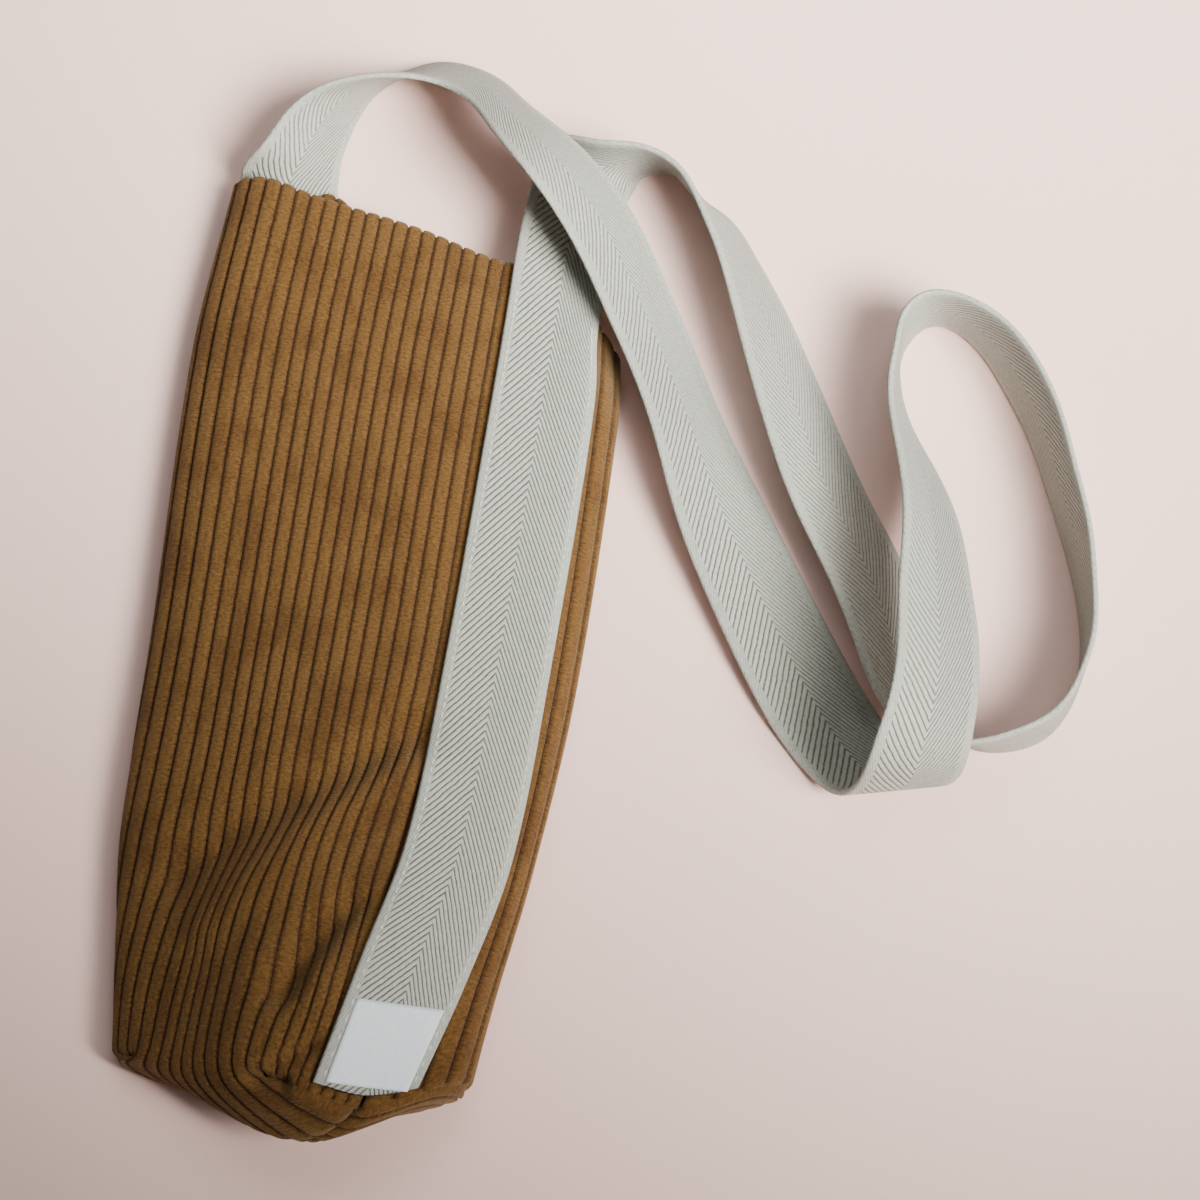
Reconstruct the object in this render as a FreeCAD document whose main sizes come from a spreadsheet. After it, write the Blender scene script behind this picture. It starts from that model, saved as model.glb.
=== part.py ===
"""Soft bottle carrier lying on its back panel, mouth to +Y, strap loops spread to +X."""
import math
import os

import FreeCAD
import Part
import Sketcher
from FreeCAD import Vector

SIZES = [
    ("half_width", "60"),
    ("bag_length", "262"),
    ("base_offset", "112"),
    ("mouth_rise", "18"),
    ("mid_rise", "23"),
    ("heel_rise", "40"),
    ("base_rise", "42"),
    ("rim_skew", "34"),
    ("base_sag", "15"),
    ("base_prow", "12"),
    ("corduroy_ply", "2.2"),
    ("lining_ply", "0.7"),
    ("ply_gap", "0.2"),
    ("webbing_gap", "0.6"),
    ("lining_drop", "3"),
    ("webbing_width", "30"),
    ("webbing_ply", "1.7"),
    ("floor_clear", "0.15"),
    ("seam_gap", "0.2"),
    ("cut_gap", "0.8"),
    ("label_width", "24"),
    ("label_length", "24"),
    ("label_ply", "0.4"),
    ("label_inset", "14.7"),
    ("end_inset", "2"),
    ("left_inset", "10"),
]

# Section outlines as shares of (half width, skew or sag, rise). Each starts at the right strap's
# centre, runs over the top to the left fold, and comes back along the floor to the right fold.
MOUTH_SHARES = [
    (0.66, 0.42, 0.90), (0.35, 0.34, 1.00), (0.00, 0.17, 1.02), (-0.35, 0.04, 1.03),
    (-0.70, -0.10, 1.00), (-0.955, -0.20, 0.86), (-1.05, -0.18, 0.53), (-0.955, -0.16, 0.21),
    (-0.70, -0.10, 0.145), (-0.38, 0.00, 0.138), (-0.18, 0.08, 0.00), (0.15, 0.20, -0.03),
    (0.55, 0.42, -0.03), (0.87, 0.80, 0.08), (1.00, 1.00, 0.44), (0.90, 0.82, 0.78),
]
UPPER_SHARES = [
    (0.66, 0.14, 0.94), (0.35, 0.08, 1.04), (0.00, 0.03, 1.05), (-0.35, 0.01, 1.02),
    (-0.74, 0.00, 0.97), (-0.985, 0.00, 0.82), (-1.10, 0.00, 0.50), (-0.995, 0.00, 0.20),
    (-0.72, 0.00, 0.145), (-0.41, 0.01, 0.138), (-0.18, 0.02, 0.00), (0.15, 0.05, -0.03),
    (0.55, 0.10, -0.03), (0.90, 0.20, 0.08), (1.035, 0.25, 0.44), (0.94, 0.20, 0.79),
]
MIDDLE_SHARES = [
    (0.65, 0.0, 0.97), (0.36, 0.0, 1.06), (0.00, 0.0, 1.06), (-0.36, 0.0, 0.98),
    (-0.71, 0.0, 0.83), (-0.94, 0.0, 0.64), (-1.037, 0.0, 0.38), (-0.945, 0.0, 0.16),
    (-0.70, 0.0, 0.115), (-0.39, 0.0, 0.11), (-0.18, 0.0, 0.00), (0.15, 0.0, -0.025),
    (0.55, 0.0, -0.025), (0.90, 0.0, 0.07), (1.03, 0.0, 0.42), (0.94, 0.0, 0.78),
]
LOWER_SHARES = [
    (0.62, 0.0, 0.74), (0.36, 0.0, 0.80), (0.03, 0.0, 0.79), (-0.34, 0.0, 0.69),
    (-0.69, 0.0, 0.49), (-0.92, 0.0, 0.35), (-1.007, 0.0, 0.21), (-0.93, 0.0, 0.09),
    (-0.65, 0.0, 0.066), (-0.34, 0.0, 0.062), (-0.12, 0.0, 0.00), (0.15, 0.0, -0.015),
    (0.50, 0.0, -0.015), (0.82, 0.0, 0.07), (0.96, 0.0, 0.36), (0.86, 0.0, 0.63),
]
HEEL_SHARES = [
    (0.50, 0.0, 0.87), (0.26, 0.0, 0.96), (0.00, 0.0, 0.95), (-0.32, 0.0, 0.76),
    (-0.64, 0.0, 0.49), (-0.84, 0.0, 0.34), (-0.917, 0.0, 0.21), (-0.845, 0.0, 0.09),
    (-0.58, 0.0, 0.066), (-0.26, 0.0, 0.062), (0.00, 0.0, 0.00), (0.22, 0.0, -0.012),
    (0.50, 0.0, -0.012), (0.77, 0.0, 0.08), (0.875, 0.0, 0.40), (0.775, 0.0, 0.69),
]
BASE_SHARES = [
    (0.37, -1.0, 0.83), (0.15, -0.97, 0.93), (-0.09, -0.86, 0.94), (-0.34, -0.66, 0.74),
    (-0.61, -0.43, 0.48), (-0.78, -0.30, 0.33), (-0.85, -0.26, 0.20), (-0.77, -0.36, 0.085),
    (-0.50, -0.55, 0.062), (-0.17, -0.68, 0.058), (0.08, -0.74, 0.02), (0.28, -0.66, 0.0),
    (0.52, -0.36, 0.0), (0.75, -0.12, 0.09), (0.83, -0.10, 0.40), (0.73, -0.32, 0.67),
]
STATION_SHARES = [0.0, 0.09, 0.24, 0.46, 0.82, 1.0]
LEFT_FOLD = 6
LEFT_CENTRE = 8
RIGHT_FOLD = 14
FOLD_SHARE = 0.84
COLUMN_SHARES = [
    0.0, 0.08, 0.16, 0.25, 0.35, 0.45, 0.54, 0.62, 0.69, 0.74, 0.78, 0.81,
    0.835, 0.86, 0.885, 0.92, 0.96, 1.0,
]
ROW_SHARES = [0.0, 0.04, 0.11, 0.22, 0.38, 0.58, 0.8, 1.0]

# Free webbing: lower edge (x, y, z), then bearing and rise of the direction to the upper edge.
ROUTE = [
    (-31, 157, 0, 180, 0), (-32.8, 163.5, 1, -177, 20), (-33.3, 170, 1, -166, 36),
    (-32.6, 181, 0, -157, 47), (-28.5, 195, 0, -140, 57), (-19, 206, 0, -92, 61),
    (-9, 211, 0, -88, 52), (6, 207.2, 5, -100, 47), (21.7, 191.2, 18, -112, 44),
    (38.7, 175.8, 26, -120, 38),
    (56.6, 160.3, 18.5, -126, 34), (68.1, 144.8, 10.5, -132, 36),
    (80, 126, 3, -146, 40), (94, 101, 0, -152, 38), (108, 79, 0, -150, 22),
    (124, 54, 0, -150, 12), (140, 30, 0, -152, 6), (157, 8, 1, -163, 0),
    (167, -2, 7, -165, 2), (173, -4, 19, -165, 6), (175, 2, 32, -162, 14),
    (175, 21, 34, -155, 26), (170, 50, 27, -155, 40), (164, 75, 16, -158, 54),
    (154, 97, 6, -170, 66), (146, 112, 1, 180, 77), (142, 124, 0, 180, 84),
    (142, 134, 0, -60, 82), (149, 144, 0, -90, 80), (160, 142, 0, -10, 84),
    (174, 126, 0, 10, 81), (183, 111, 0, 5, 80), (192, 90, 0, 0, 82),
    (198, 75, 0, 0, 84), (203, 58, 0, -20, 87), (205, 43, 0, -30, 88),
    (203, 30, 0, -40, 88), (196, 18, 0, -53, 85), (186, 13, 0, -85, 80),
    (176, 13, 0, -107, 70), (166, 21, 0, -127, 55), (160, 40, 0, -150, 42),
    (150, 66, 0, -150, 34), (138, 85, 0, -150, 35), (125, 108, 0, -150, 40),
    (113, 130, 0, -147, 47), (103, 147, 0, -142, 54), (94, 160, 0, -135, 60),
    (85, 170.5, 0, -118, 63), (75.2, 176.5, 0, -92, 68), (67, 184, 0, -95, 71),
    (60.8, 183.3, 0, -128, 75), (56, 178.5, 0, -178, 62), (54.2, 171, 2, 155, 34),
    (53, 157, 7, 160, 18), (54, 140, 13, 178, 12),
]
PROW_SHARE = 6.75
LOOP_FIRST = 13
LOOP_LAST = 48
STEPS = 2


def make_sheet(doc):
    """Put the driving sizes into a spreadsheet and return it with a reader."""
    sheet = doc.addObject("Spreadsheet::Sheet", "Sizes")
    for row, (alias, value) in enumerate(SIZES, start=1):
        sheet.set("A%d" % row, alias)
        sheet.set("B%d" % row, value)
        sheet.setAlias("B%d" % row, alias)
    doc.recompute()
    return sheet, lambda alias: float(sheet.get(alias))


def hermite(knots, values, at):
    """Smooth value at a knot position through values given at rising knots."""
    last = len(knots) - 1
    low = 0
    while low < last - 1 and at > knots[low + 1]:
        low += 1
    step = knots[low + 1] - knots[low]
    share = (at - knots[low]) / step

    def slope(i):
        if i == 0:
            return (values[1] - values[0]) * (1 / (knots[1] - knots[0]))
        if i == last:
            return (values[last] - values[last - 1]) * (1 / (knots[last] - knots[last - 1]))
        return (values[i + 1] - values[i - 1]) * (1 / (knots[i + 1] - knots[i - 1]))

    square = share * share
    cube = square * share
    return (
        values[low] * (2 * cube - 3 * square + 1)
        + slope(low) * (step * (cube - 2 * square + share))
        + values[low + 1] * (3 * square - 2 * cube)
        + slope(low + 1) * (step * (cube - square))
    )


class Section:
    """Closed outline of the bag at one station, read by length from the right strap's centre."""

    def __init__(self, points):
        curve = Part.BSplineCurve()
        curve.interpolate(Points=points, PeriodicFlag=True)
        count = 240
        first = curve.FirstParameter
        span = curve.LastParameter - first
        self.points = [curve.value(first + span * i / count) for i in range(count + 1)]
        self.lengths = [0.0]
        for i in range(count):
            self.lengths.append(self.lengths[i] + (self.points[i + 1] - self.points[i]).Length)
        self.girth = self.lengths[count]
        self.left = self.length_near(points[LEFT_CENTRE])
        self.folds = (self.length_near(points[LEFT_FOLD]), self.length_near(points[RIGHT_FOLD]))

    def length_near(self, spot):
        """Length at the place on the outline that is nearest to a spot."""
        marks = [(point - spot).Length for point in self.points]
        return self.lengths[marks.index(min(marks))]

    def length_at(self, share):
        """Length at a share of the way round, with each fold at a fixed share of its half."""
        start, fold, end = (0.0, self.folds[0], self.left)
        if share > 1.0:
            start, fold, end = (self.left, self.folds[1], self.girth)
            share -= 1.0
        if share <= FOLD_SHARE:
            return start + (fold - start) * share / FOLD_SHARE
        return fold + (end - fold) * (share - FOLD_SHARE) / (1 - FOLD_SHARE)

    def at(self, length):
        """Point at a length along the outline, positive over the top."""
        if length < 0 or length > self.girth:
            length = length % self.girth
        low, high = 0, len(self.lengths) - 1
        while high - low > 1:
            middle = (low + high) // 2
            if self.lengths[middle] > length:
                high = middle
            else:
                low = middle
        part = (length - self.lengths[low]) / (self.lengths[high] - self.lengths[low])
        return self.points[low] + (self.points[high] - self.points[low]) * part


class Skin:
    """Outer surface of the bag: a smooth skin over the stations from base to rim."""

    def __init__(self, read):
        width = read("half_width")
        length = read("bag_length")
        start = -read("base_offset")
        skew = -read("rim_skew")
        tables = [
            (BASE_SHARES, read("base_sag"), read("base_rise")),
            (HEEL_SHARES, 0.0, read("heel_rise")),
            (LOWER_SHARES, 0.0, read("heel_rise")),
            (MIDDLE_SHARES, 0.0, read("mid_rise")),
            (UPPER_SHARES, skew, read("mouth_rise")),
            (MOUTH_SHARES, skew, read("mouth_rise")),
        ]
        self.knots = STATION_SHARES
        self.sections = []
        for station, (table, slide, rise) in zip(STATION_SHARES, tables):
            level = start + station * length
            self.sections.append(Section([
                Vector(a * width, level + b * slide, c * rise) for a, b, c in table
            ]))

    def along(self, share, station):
        """Point at a share of the way round (0 right strap, 1 left strap, 2 right strap)."""
        row = [section.at(section.length_at(share)) for section in self.sections]
        return hermite(self.knots, row, station)

    def offset(self, length, station):
        """Point at a length from the right strap's centre."""
        return hermite(self.knots, [s.at(length) for s in self.sections], station)

    def normal(self, share, station):
        """Outward direction of the skin, square to the wales' run round the bag."""
        low = self.along(max(share - 0.01, 0.0), station)
        high = self.along(min(share + 0.01, 2.0), station)
        turn = (high - low).normalize()
        return turn.cross(Vector(0, -1, 0)).normalize()


def even_knots(count):
    """Degree, knots and multiplicities of an even spline with a number of poles."""
    degree = min(3, count - 1)
    spans = count - degree
    knots = [i / spans for i in range(spans + 1)]
    return degree, knots, [degree + 1] + [1] * (spans - 1) + [degree + 1]


def spline_surface(grid):
    """Smooth surface led by a grid of points and meeting it along its border."""
    degree_u, knots_u, mults_u = even_knots(len(grid))
    degree_v, knots_v, mults_v = even_knots(len(grid[0]))
    surface = Part.BSplineSurface()
    surface.buildFromPolesMultsKnots(
        grid, mults_u, mults_v, knots_u, knots_v, False, False, degree_u, degree_v
    )
    return surface


def closed_solid(faces):
    """Sew faces that meet all round into one solid."""
    shell = Part.makeShell(faces)
    shell.sewShape()
    solid = Part.makeSolid(shell)
    if solid.Volume < 0:
        solid.reverse()
    return solid


def patch(first, second, third, fourth):
    """Two flat triangles between two straight edges, one where two corners meet."""
    faces = []
    for corners in ((first, second, third), (second, fourth, third)):
        sides = [(corners[i] - corners[i - 1]).Length for i in range(3)]
        if min(sides) > 1e-6:
            faces.append(Part.Face(Part.makePolygon(list(corners) + [corners[0]])))
    return faces


def ribbon_solid(top, under):
    """Webbing run between two grids of points, in short flat spans."""
    faces = []
    last = len(top[0]) - 1
    for i in range(len(top) - 1):
        after = i + 1
        for grid in (top, under):
            for k in range(last):
                beside = k + 1
                faces += patch(grid[i][k], grid[i][beside], grid[after][k], grid[after][beside])
        for k in (0, last):
            faces += patch(top[i][k], under[i][k], top[after][k], under[after][k])
    for row in (0, -1):
        for k in range(last):
            beside = k + 1
            faces += patch(top[row][k], top[row][beside], under[row][k], under[row][beside])
    return closed_solid(faces)


def add_feature(doc, name, shape):
    """Document object for one free-form piece."""
    piece = doc.addObject("Part::Feature", name)
    piece.Label = name
    piece.Shape = shape
    return piece


def wall_grid(skin, first, last, depth, low, high):
    """Grid on the skin between two shares of the way round, sunk by a depth."""
    grid = []
    for column in COLUMN_SHARES:
        share = first + (last - first) * column
        line = []
        for row in ROW_SHARES:
            station = low + (high - low) * row
            spot = skin.along(share, station)
            line.append(spot - skin.normal(share, station) * depth)
        grid.append(line)
    return grid


def seam_points(first, last, prow, front):
    """Bottom seam across the base, bulged outward most at a third from the right strap."""
    points = []
    for part in COLUMN_SHARES:
        spot = first + (last - first) * part
        lean = part if front else 1 - part
        points.append(spot - Vector(0, prow * PROW_SHARE * lean * (1 - lean) * (1 - lean), 0))
    return points


def panel_shape(skin, read, front, depth, ply, low, high):
    """One cloth panel: strips along the wales from rim to base edge and on to the bottom seam."""
    gap = read("seam_gap") / (2 * skin.sections[3].left)
    first, last = (gap, 1 - gap) if front else (1 + gap, 2 - gap)
    layers = []
    for sink, start in ((depth, low), (depth + ply, low + ply / read("bag_length"))):
        grid = wall_grid(skin, first, last, sink, start, high)
        seam = seam_points(grid[0][0], grid[-1][0], read("base_prow"), front)
        layers.append((grid, seam))
    (outer, outer_seam), (inner, inner_seam) = layers
    faces = []
    for i in range(len(COLUMN_SHARES) - 1):
        after = i + 1
        for grid, seam in layers:
            faces.append(spline_surface([grid[i], grid[after]]).toShape())
            faces += patch(grid[i][0], grid[after][0], seam[i], seam[after])
        faces += patch(outer[i][-1], outer[after][-1], inner[i][-1], inner[after][-1])
        faces += patch(outer_seam[i], outer_seam[after], inner_seam[i], inner_seam[after])
    for column in (0, -1):
        faces.append(spline_surface([outer[column], inner[column]]).toShape())
    return closed_solid(faces)


def ribbon_frames(rows, ply, clear):
    """Lower and upper edge points of the free webbing, lifted clear of the floor."""
    frames = []
    for x, y, z, bearing, rise in rows:
        turn = math.radians(bearing)
        tilt = math.radians(rise)
        across = Vector(
            math.cos(tilt) * math.cos(turn), math.cos(tilt) * math.sin(turn), math.sin(tilt)
        )
        lift = ply / 2 * abs(math.cos(tilt)) + clear + ply * 0.1
        frames.append((Vector(x, y, z + lift), across))
    return frames


def ribbon_lines(frames, width):
    """Denser pairs of edge points through the frames."""
    knots = [float(i) for i in range(len(frames))]
    lows = [low for low, across in frames]
    highs = [low + across * width for low, across in frames]
    lines = []
    for i in range(STEPS * (len(frames) - 1) + 1):
        at = i / STEPS
        low = hermite(knots, lows, at)
        across = (hermite(knots, highs, at) - low).normalize()
        lines.append((low, low + across * width))
    return lines


def ribbon_grids(lines, ply):
    """Both faces of a webbing run as grids of edge points."""
    top, under = [], []
    last = len(lines) - 1
    for i, (low, high) in enumerate(lines):
        before = lines[max(i - 1, 0)]
        after = lines[min(i + 1, last)]
        run = (after[0] + after[1]) - (before[0] + before[1])
        side = run.cross(high - low).normalize() * (ply / 2)
        top.append([low + side, high + side])
        under.append([low - side, high - side])
    return top, under


def trim(lines, gap, at_start):
    """Take a gap off one end of a run."""
    index, other = (0, 1) if at_start else (-1, -2)
    step = lines[other][0] + lines[other][1] - lines[index][0] - lines[index][1]
    step = step.normalize() * gap
    lines[index] = (lines[index][0] + step, lines[index][1] + step)
    return lines


def build():
    """Build every piece, check it and write it out."""
    doc = FreeCAD.newDocument("bottle_carrier")
    sheet, read = make_sheet(doc)
    skin = Skin(read)
    ply = read("corduroy_ply")
    thin = read("lining_ply")
    gap = read("ply_gap")
    tape = read("webbing_ply")
    width = read("webbing_width")
    clear = read("floor_clear")
    cut = read("cut_gap")
    pieces = []

    length = read("bag_length")
    inner_low = (ply + 2 * gap) / length
    inner_high = 1 - read("lining_drop") / length
    floor = Part.makeBox(
        4 * read("half_width"), 2 * length, read("base_rise"),
        Vector(-2 * read("half_width"), -length, -read("base_rise")),
    )
    for front, side in ((True, "front"), (False, "back")):
        shape = panel_shape(skin, read, front, 0.0, ply, 0.0, 1.0)
        if not front:
            shape = shape.cut(floor)
        pieces.append(add_feature(doc, "corduroy_%s_panel" % side, shape))
        inner = panel_shape(skin, read, front, ply + gap, thin, inner_low, inner_high)
        pieces.append(add_feature(doc, "lining_%s_panel" % side, inner))

    frames = ribbon_frames(ROUTE, tape, clear)
    free = ribbon_lines(frames, width)

    sewn = []
    end = read("end_inset") / length
    rows = 14
    for j in range(rows + 1):
        station = end + (1.0 - end) * j / rows
        line = []
        for k in range(5):
            at = (k / 4 - 0.5) * width
            spot = skin.offset(at, station)
            near = skin.offset(at + width / 20, station) - skin.offset(at - width / 20, station)
            side = near.normalize().cross(Vector(0, -1, 0)).normalize()
            line.append((spot, side))
        sewn.append(line)
    seat = read("webbing_gap")
    top = [[spot + side * (seat + tape) for spot, side in line] for line in sewn]
    under = [[spot + side * seat for spot, side in line] for line in sewn]

    riser = trim([free[i] for i in range(STEPS * LOOP_LAST, len(free))], cut / 2, True)
    riser.reverse()
    rise_top, rise_under = [], []
    last = len(riser) - 1
    for i, (low, high) in enumerate(riser):
        before = riser[max(i - 1, 0)]
        after = riser[min(i + 1, last)]
        run = (after[0] + after[1]) - (before[0] + before[1])
        side = (high - low).cross(run).normalize() * (tape / 2)
        spots = [low + (high - low) * (k / 4) for k in range(5)]
        rise_top.append([spot - side for spot in spots])
        rise_under.append([spot + side for spot in spots])
    pieces.append(add_feature(
        doc, "strap_right", ribbon_solid(top + rise_top, under + rise_under)
    ))

    flat = []
    count = 9
    under_end = read("left_inset") / length
    for j in range(count):
        part = 1 - (1 - j / count) * (1 - j / count)
        centre = skin.along(1.0, under_end + (1 - under_end) * part)
        low = Vector(centre.x + width / 2, centre.y, tape / 2 + clear)
        flat.append((low, low - Vector(width, 0, 0)))
    left_lines = trim(flat + free[: STEPS * LOOP_FIRST + 1], cut / 2, False)
    pieces.append(add_feature(doc, "strap_left", ribbon_solid(*ribbon_grids(left_lines, tape))))

    loop_lines = free[STEPS * LOOP_FIRST: STEPS * LOOP_LAST + 1]
    loop_lines = trim(trim(loop_lines, cut / 2, True), cut / 2, False)
    pieces.append(add_feature(doc, "strap_loop", ribbon_solid(*ribbon_grids(loop_lines, tape))))

    body = doc.addObject("PartDesign::Body", "label")
    body.Label = "label"
    sketch = body.newObject("Sketcher::SketchObject", "label_outline")
    plane = [f for f in body.Origin.OriginFeatures if f.Role == "XY_Plane"][0]
    sketch.AttachmentSupport = [(plane, "")]
    sketch.MapMode = "FlatFace"
    half_w = read("label_width") / 2
    half_l = read("label_length") / 2
    corners = [(-half_w, -half_l), (half_w, -half_l), (half_w, half_l), (-half_w, half_l)]
    for i in range(4):
        a, b = corners[i], corners[(i + 1) % 4]
        sketch.addGeometry(Part.LineSegment(Vector(a[0], a[1], 0), Vector(b[0], b[1], 0)))
    for i in range(4):
        sketch.addConstraint(Sketcher.Constraint("Coincident", i, 2, (i + 1) % 4, 1))
    for i in (0, 2):
        sketch.addConstraint(Sketcher.Constraint("Horizontal", i))
    for i in (1, 3):
        sketch.addConstraint(Sketcher.Constraint("Vertical", i))
    sketch.addConstraint(Sketcher.Constraint("Symmetric", 0, 1, 2, 1, -1, 1))
    wide = sketch.addConstraint(Sketcher.Constraint("DistanceX", 0, 1, 0, 2, 2 * half_w))
    tall = sketch.addConstraint(Sketcher.Constraint("DistanceY", 1, 1, 1, 2, 2 * half_l))
    sketch.setExpression("Constraints[%d]" % wide, "Sizes.label_width")
    sketch.setExpression("Constraints[%d]" % tall, "Sizes.label_length")
    doc.recompute()
    pad = body.newObject("PartDesign::Pad", "label_pad")
    pad.Profile = sketch
    pad.setExpression("Length", "Sizes.label_ply")
    doc.recompute()
    station = end
    spot = skin.offset(0.0, station)
    passed = 0.0
    while passed < read("label_inset"):
        station += 0.001
        after = skin.offset(0.0, station)
        passed += (after - spot).Length
        spot = after
    run = (skin.offset(0.0, station + 0.02) - skin.offset(0.0, station - 0.02)).normalize()
    side = (skin.offset(-half_w, station) - skin.offset(half_w, station)).normalize()
    up = side.cross(run).normalize()
    side = run.cross(up).normalize()
    turn = FreeCAD.Rotation(side, run, up, "ZXY")
    body.Placement = FreeCAD.Placement(spot + up * (seat + tape + 2 * gap), turn)
    pieces.append(body)
    doc.recompute()

    os.makedirs("parts", exist_ok=True)
    for obj in doc.Objects:
        if "Invalid" in obj.State or "Error" in obj.State:
            raise RuntimeError("%s did not compute" % obj.Name)
    for piece in pieces:
        shape = piece.Shape
        if shape.isNull() or not shape.isValid():
            raise RuntimeError("%s has no sound shape" % piece.Label)
        box = shape.BoundBox
        print("%-22s vol %.0f solids %d z %.2f..%.2f" % (
            piece.Label, shape.Volume, len(shape.Solids), box.ZMin, box.ZMax))
        shape.exportStep("parts/%s.step" % piece.Label)
    for section in skin.sections:
        print("girth %.1f left %.1f" % (section.girth, section.left))


build()
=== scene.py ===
"""Corduroy bottle bag with one long webbing strap, laid on its back beside the strap's loops."""

import logging
import math
from dataclasses import dataclass
from enum import Enum

import bmesh
import bpy
import numpy as np
from mathutils import Matrix, Vector

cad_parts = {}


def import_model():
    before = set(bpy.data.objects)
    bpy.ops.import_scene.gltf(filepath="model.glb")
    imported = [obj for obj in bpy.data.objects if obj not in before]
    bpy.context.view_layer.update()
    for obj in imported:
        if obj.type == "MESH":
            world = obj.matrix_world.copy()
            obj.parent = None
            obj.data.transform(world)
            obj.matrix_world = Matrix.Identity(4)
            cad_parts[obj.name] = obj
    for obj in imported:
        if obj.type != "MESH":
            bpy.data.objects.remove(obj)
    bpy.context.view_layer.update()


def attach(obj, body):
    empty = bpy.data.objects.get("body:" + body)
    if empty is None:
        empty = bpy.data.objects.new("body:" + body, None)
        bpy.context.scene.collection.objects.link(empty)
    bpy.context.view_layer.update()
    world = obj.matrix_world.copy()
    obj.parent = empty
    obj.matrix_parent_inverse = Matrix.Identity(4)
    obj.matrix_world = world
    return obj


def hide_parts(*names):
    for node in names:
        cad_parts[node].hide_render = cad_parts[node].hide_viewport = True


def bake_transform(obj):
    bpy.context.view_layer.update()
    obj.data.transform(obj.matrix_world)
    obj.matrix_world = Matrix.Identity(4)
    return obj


log = logging.getLogger("bottle_bag")

MM = 0.001
WELD = 1e-6
Points = np.ndarray
Socket = bpy.types.NodeSocket

# Section outlines as shares of (half width, slide, rise). Each starts at the right strap's centre,
# runs over the top to the left fold, and comes back along the floor to the right fold.
MOUTH = (
    (0.66, 0.42, 0.90), (0.35, 0.34, 1.00), (0.00, 0.17, 1.02), (-0.35, 0.04, 1.03),
    (-0.70, -0.10, 1.00), (-0.955, -0.20, 0.86), (-1.05, -0.18, 0.53), (-0.955, -0.16, 0.21),
    (-0.70, -0.10, 0.145), (-0.38, 0.00, 0.138), (-0.18, 0.08, 0.00), (0.15, 0.20, -0.03),
    (0.55, 0.42, -0.03), (0.87, 0.80, 0.08), (1.00, 1.00, 0.44), (0.90, 0.82, 0.78),
)
UPPER = (
    (0.66, 0.14, 0.94), (0.35, 0.08, 1.04), (0.00, 0.03, 1.05), (-0.35, 0.01, 1.02),
    (-0.74, 0.00, 0.97), (-0.985, 0.00, 0.82), (-1.10, 0.00, 0.50), (-0.995, 0.00, 0.20),
    (-0.72, 0.00, 0.145), (-0.41, 0.01, 0.138), (-0.18, 0.02, 0.00), (0.15, 0.05, -0.03),
    (0.55, 0.10, -0.03), (0.90, 0.20, 0.08), (1.035, 0.25, 0.44), (0.94, 0.20, 0.79),
)
MIDDLE = (
    (0.65, 0.0, 0.97), (0.36, 0.0, 1.06), (0.00, 0.0, 1.06), (-0.36, 0.0, 0.98),
    (-0.71, 0.0, 0.83), (-0.94, 0.0, 0.64), (-1.037, 0.0, 0.38), (-0.945, 0.0, 0.16),
    (-0.70, 0.0, 0.115), (-0.39, 0.0, 0.11), (-0.18, 0.0, 0.00), (0.15, 0.0, -0.025),
    (0.55, 0.0, -0.025), (0.90, 0.0, 0.07), (1.03, 0.0, 0.42), (0.94, 0.0, 0.78),
)
LOWER = (
    (0.62, 0.0, 0.74), (0.36, 0.0, 0.80), (0.03, 0.0, 0.79), (-0.34, 0.0, 0.69),
    (-0.69, 0.0, 0.49), (-0.92, 0.0, 0.35), (-1.007, 0.0, 0.21), (-0.93, 0.0, 0.09),
    (-0.65, 0.0, 0.066), (-0.34, 0.0, 0.062), (-0.12, 0.0, 0.00), (0.15, 0.0, -0.015),
    (0.50, 0.0, -0.015), (0.82, 0.0, 0.07), (0.96, 0.0, 0.36), (0.86, 0.0, 0.63),
)
HEEL = (
    (0.50, 0.0, 0.87), (0.26, 0.0, 0.96), (0.00, 0.0, 0.95), (-0.32, 0.0, 0.76),
    (-0.64, 0.0, 0.49), (-0.84, 0.0, 0.34), (-0.917, 0.0, 0.21), (-0.845, 0.0, 0.09),
    (-0.58, 0.0, 0.066), (-0.26, 0.0, 0.062), (0.00, 0.0, 0.00), (0.22, 0.0, -0.012),
    (0.50, 0.0, -0.012), (0.77, 0.0, 0.08), (0.875, 0.0, 0.40), (0.775, 0.0, 0.69),
)
BASE = (
    (0.37, -1.0, 0.83), (0.15, -0.97, 0.93), (-0.09, -0.86, 0.94), (-0.34, -0.66, 0.74),
    (-0.61, -0.43, 0.48), (-0.78, -0.30, 0.33), (-0.85, -0.26, 0.20), (-0.77, -0.36, 0.085),
    (-0.50, -0.55, 0.062), (-0.17, -0.68, 0.058), (0.08, -0.74, 0.02), (0.28, -0.66, 0.0),
    (0.52, -0.36, 0.0), (0.75, -0.12, 0.09), (0.83, -0.10, 0.40), (0.73, -0.32, 0.67),
)
LEFT_FOLD = 6
LEFT_CENTRE = 8
RIGHT_FOLD = 14

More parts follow.
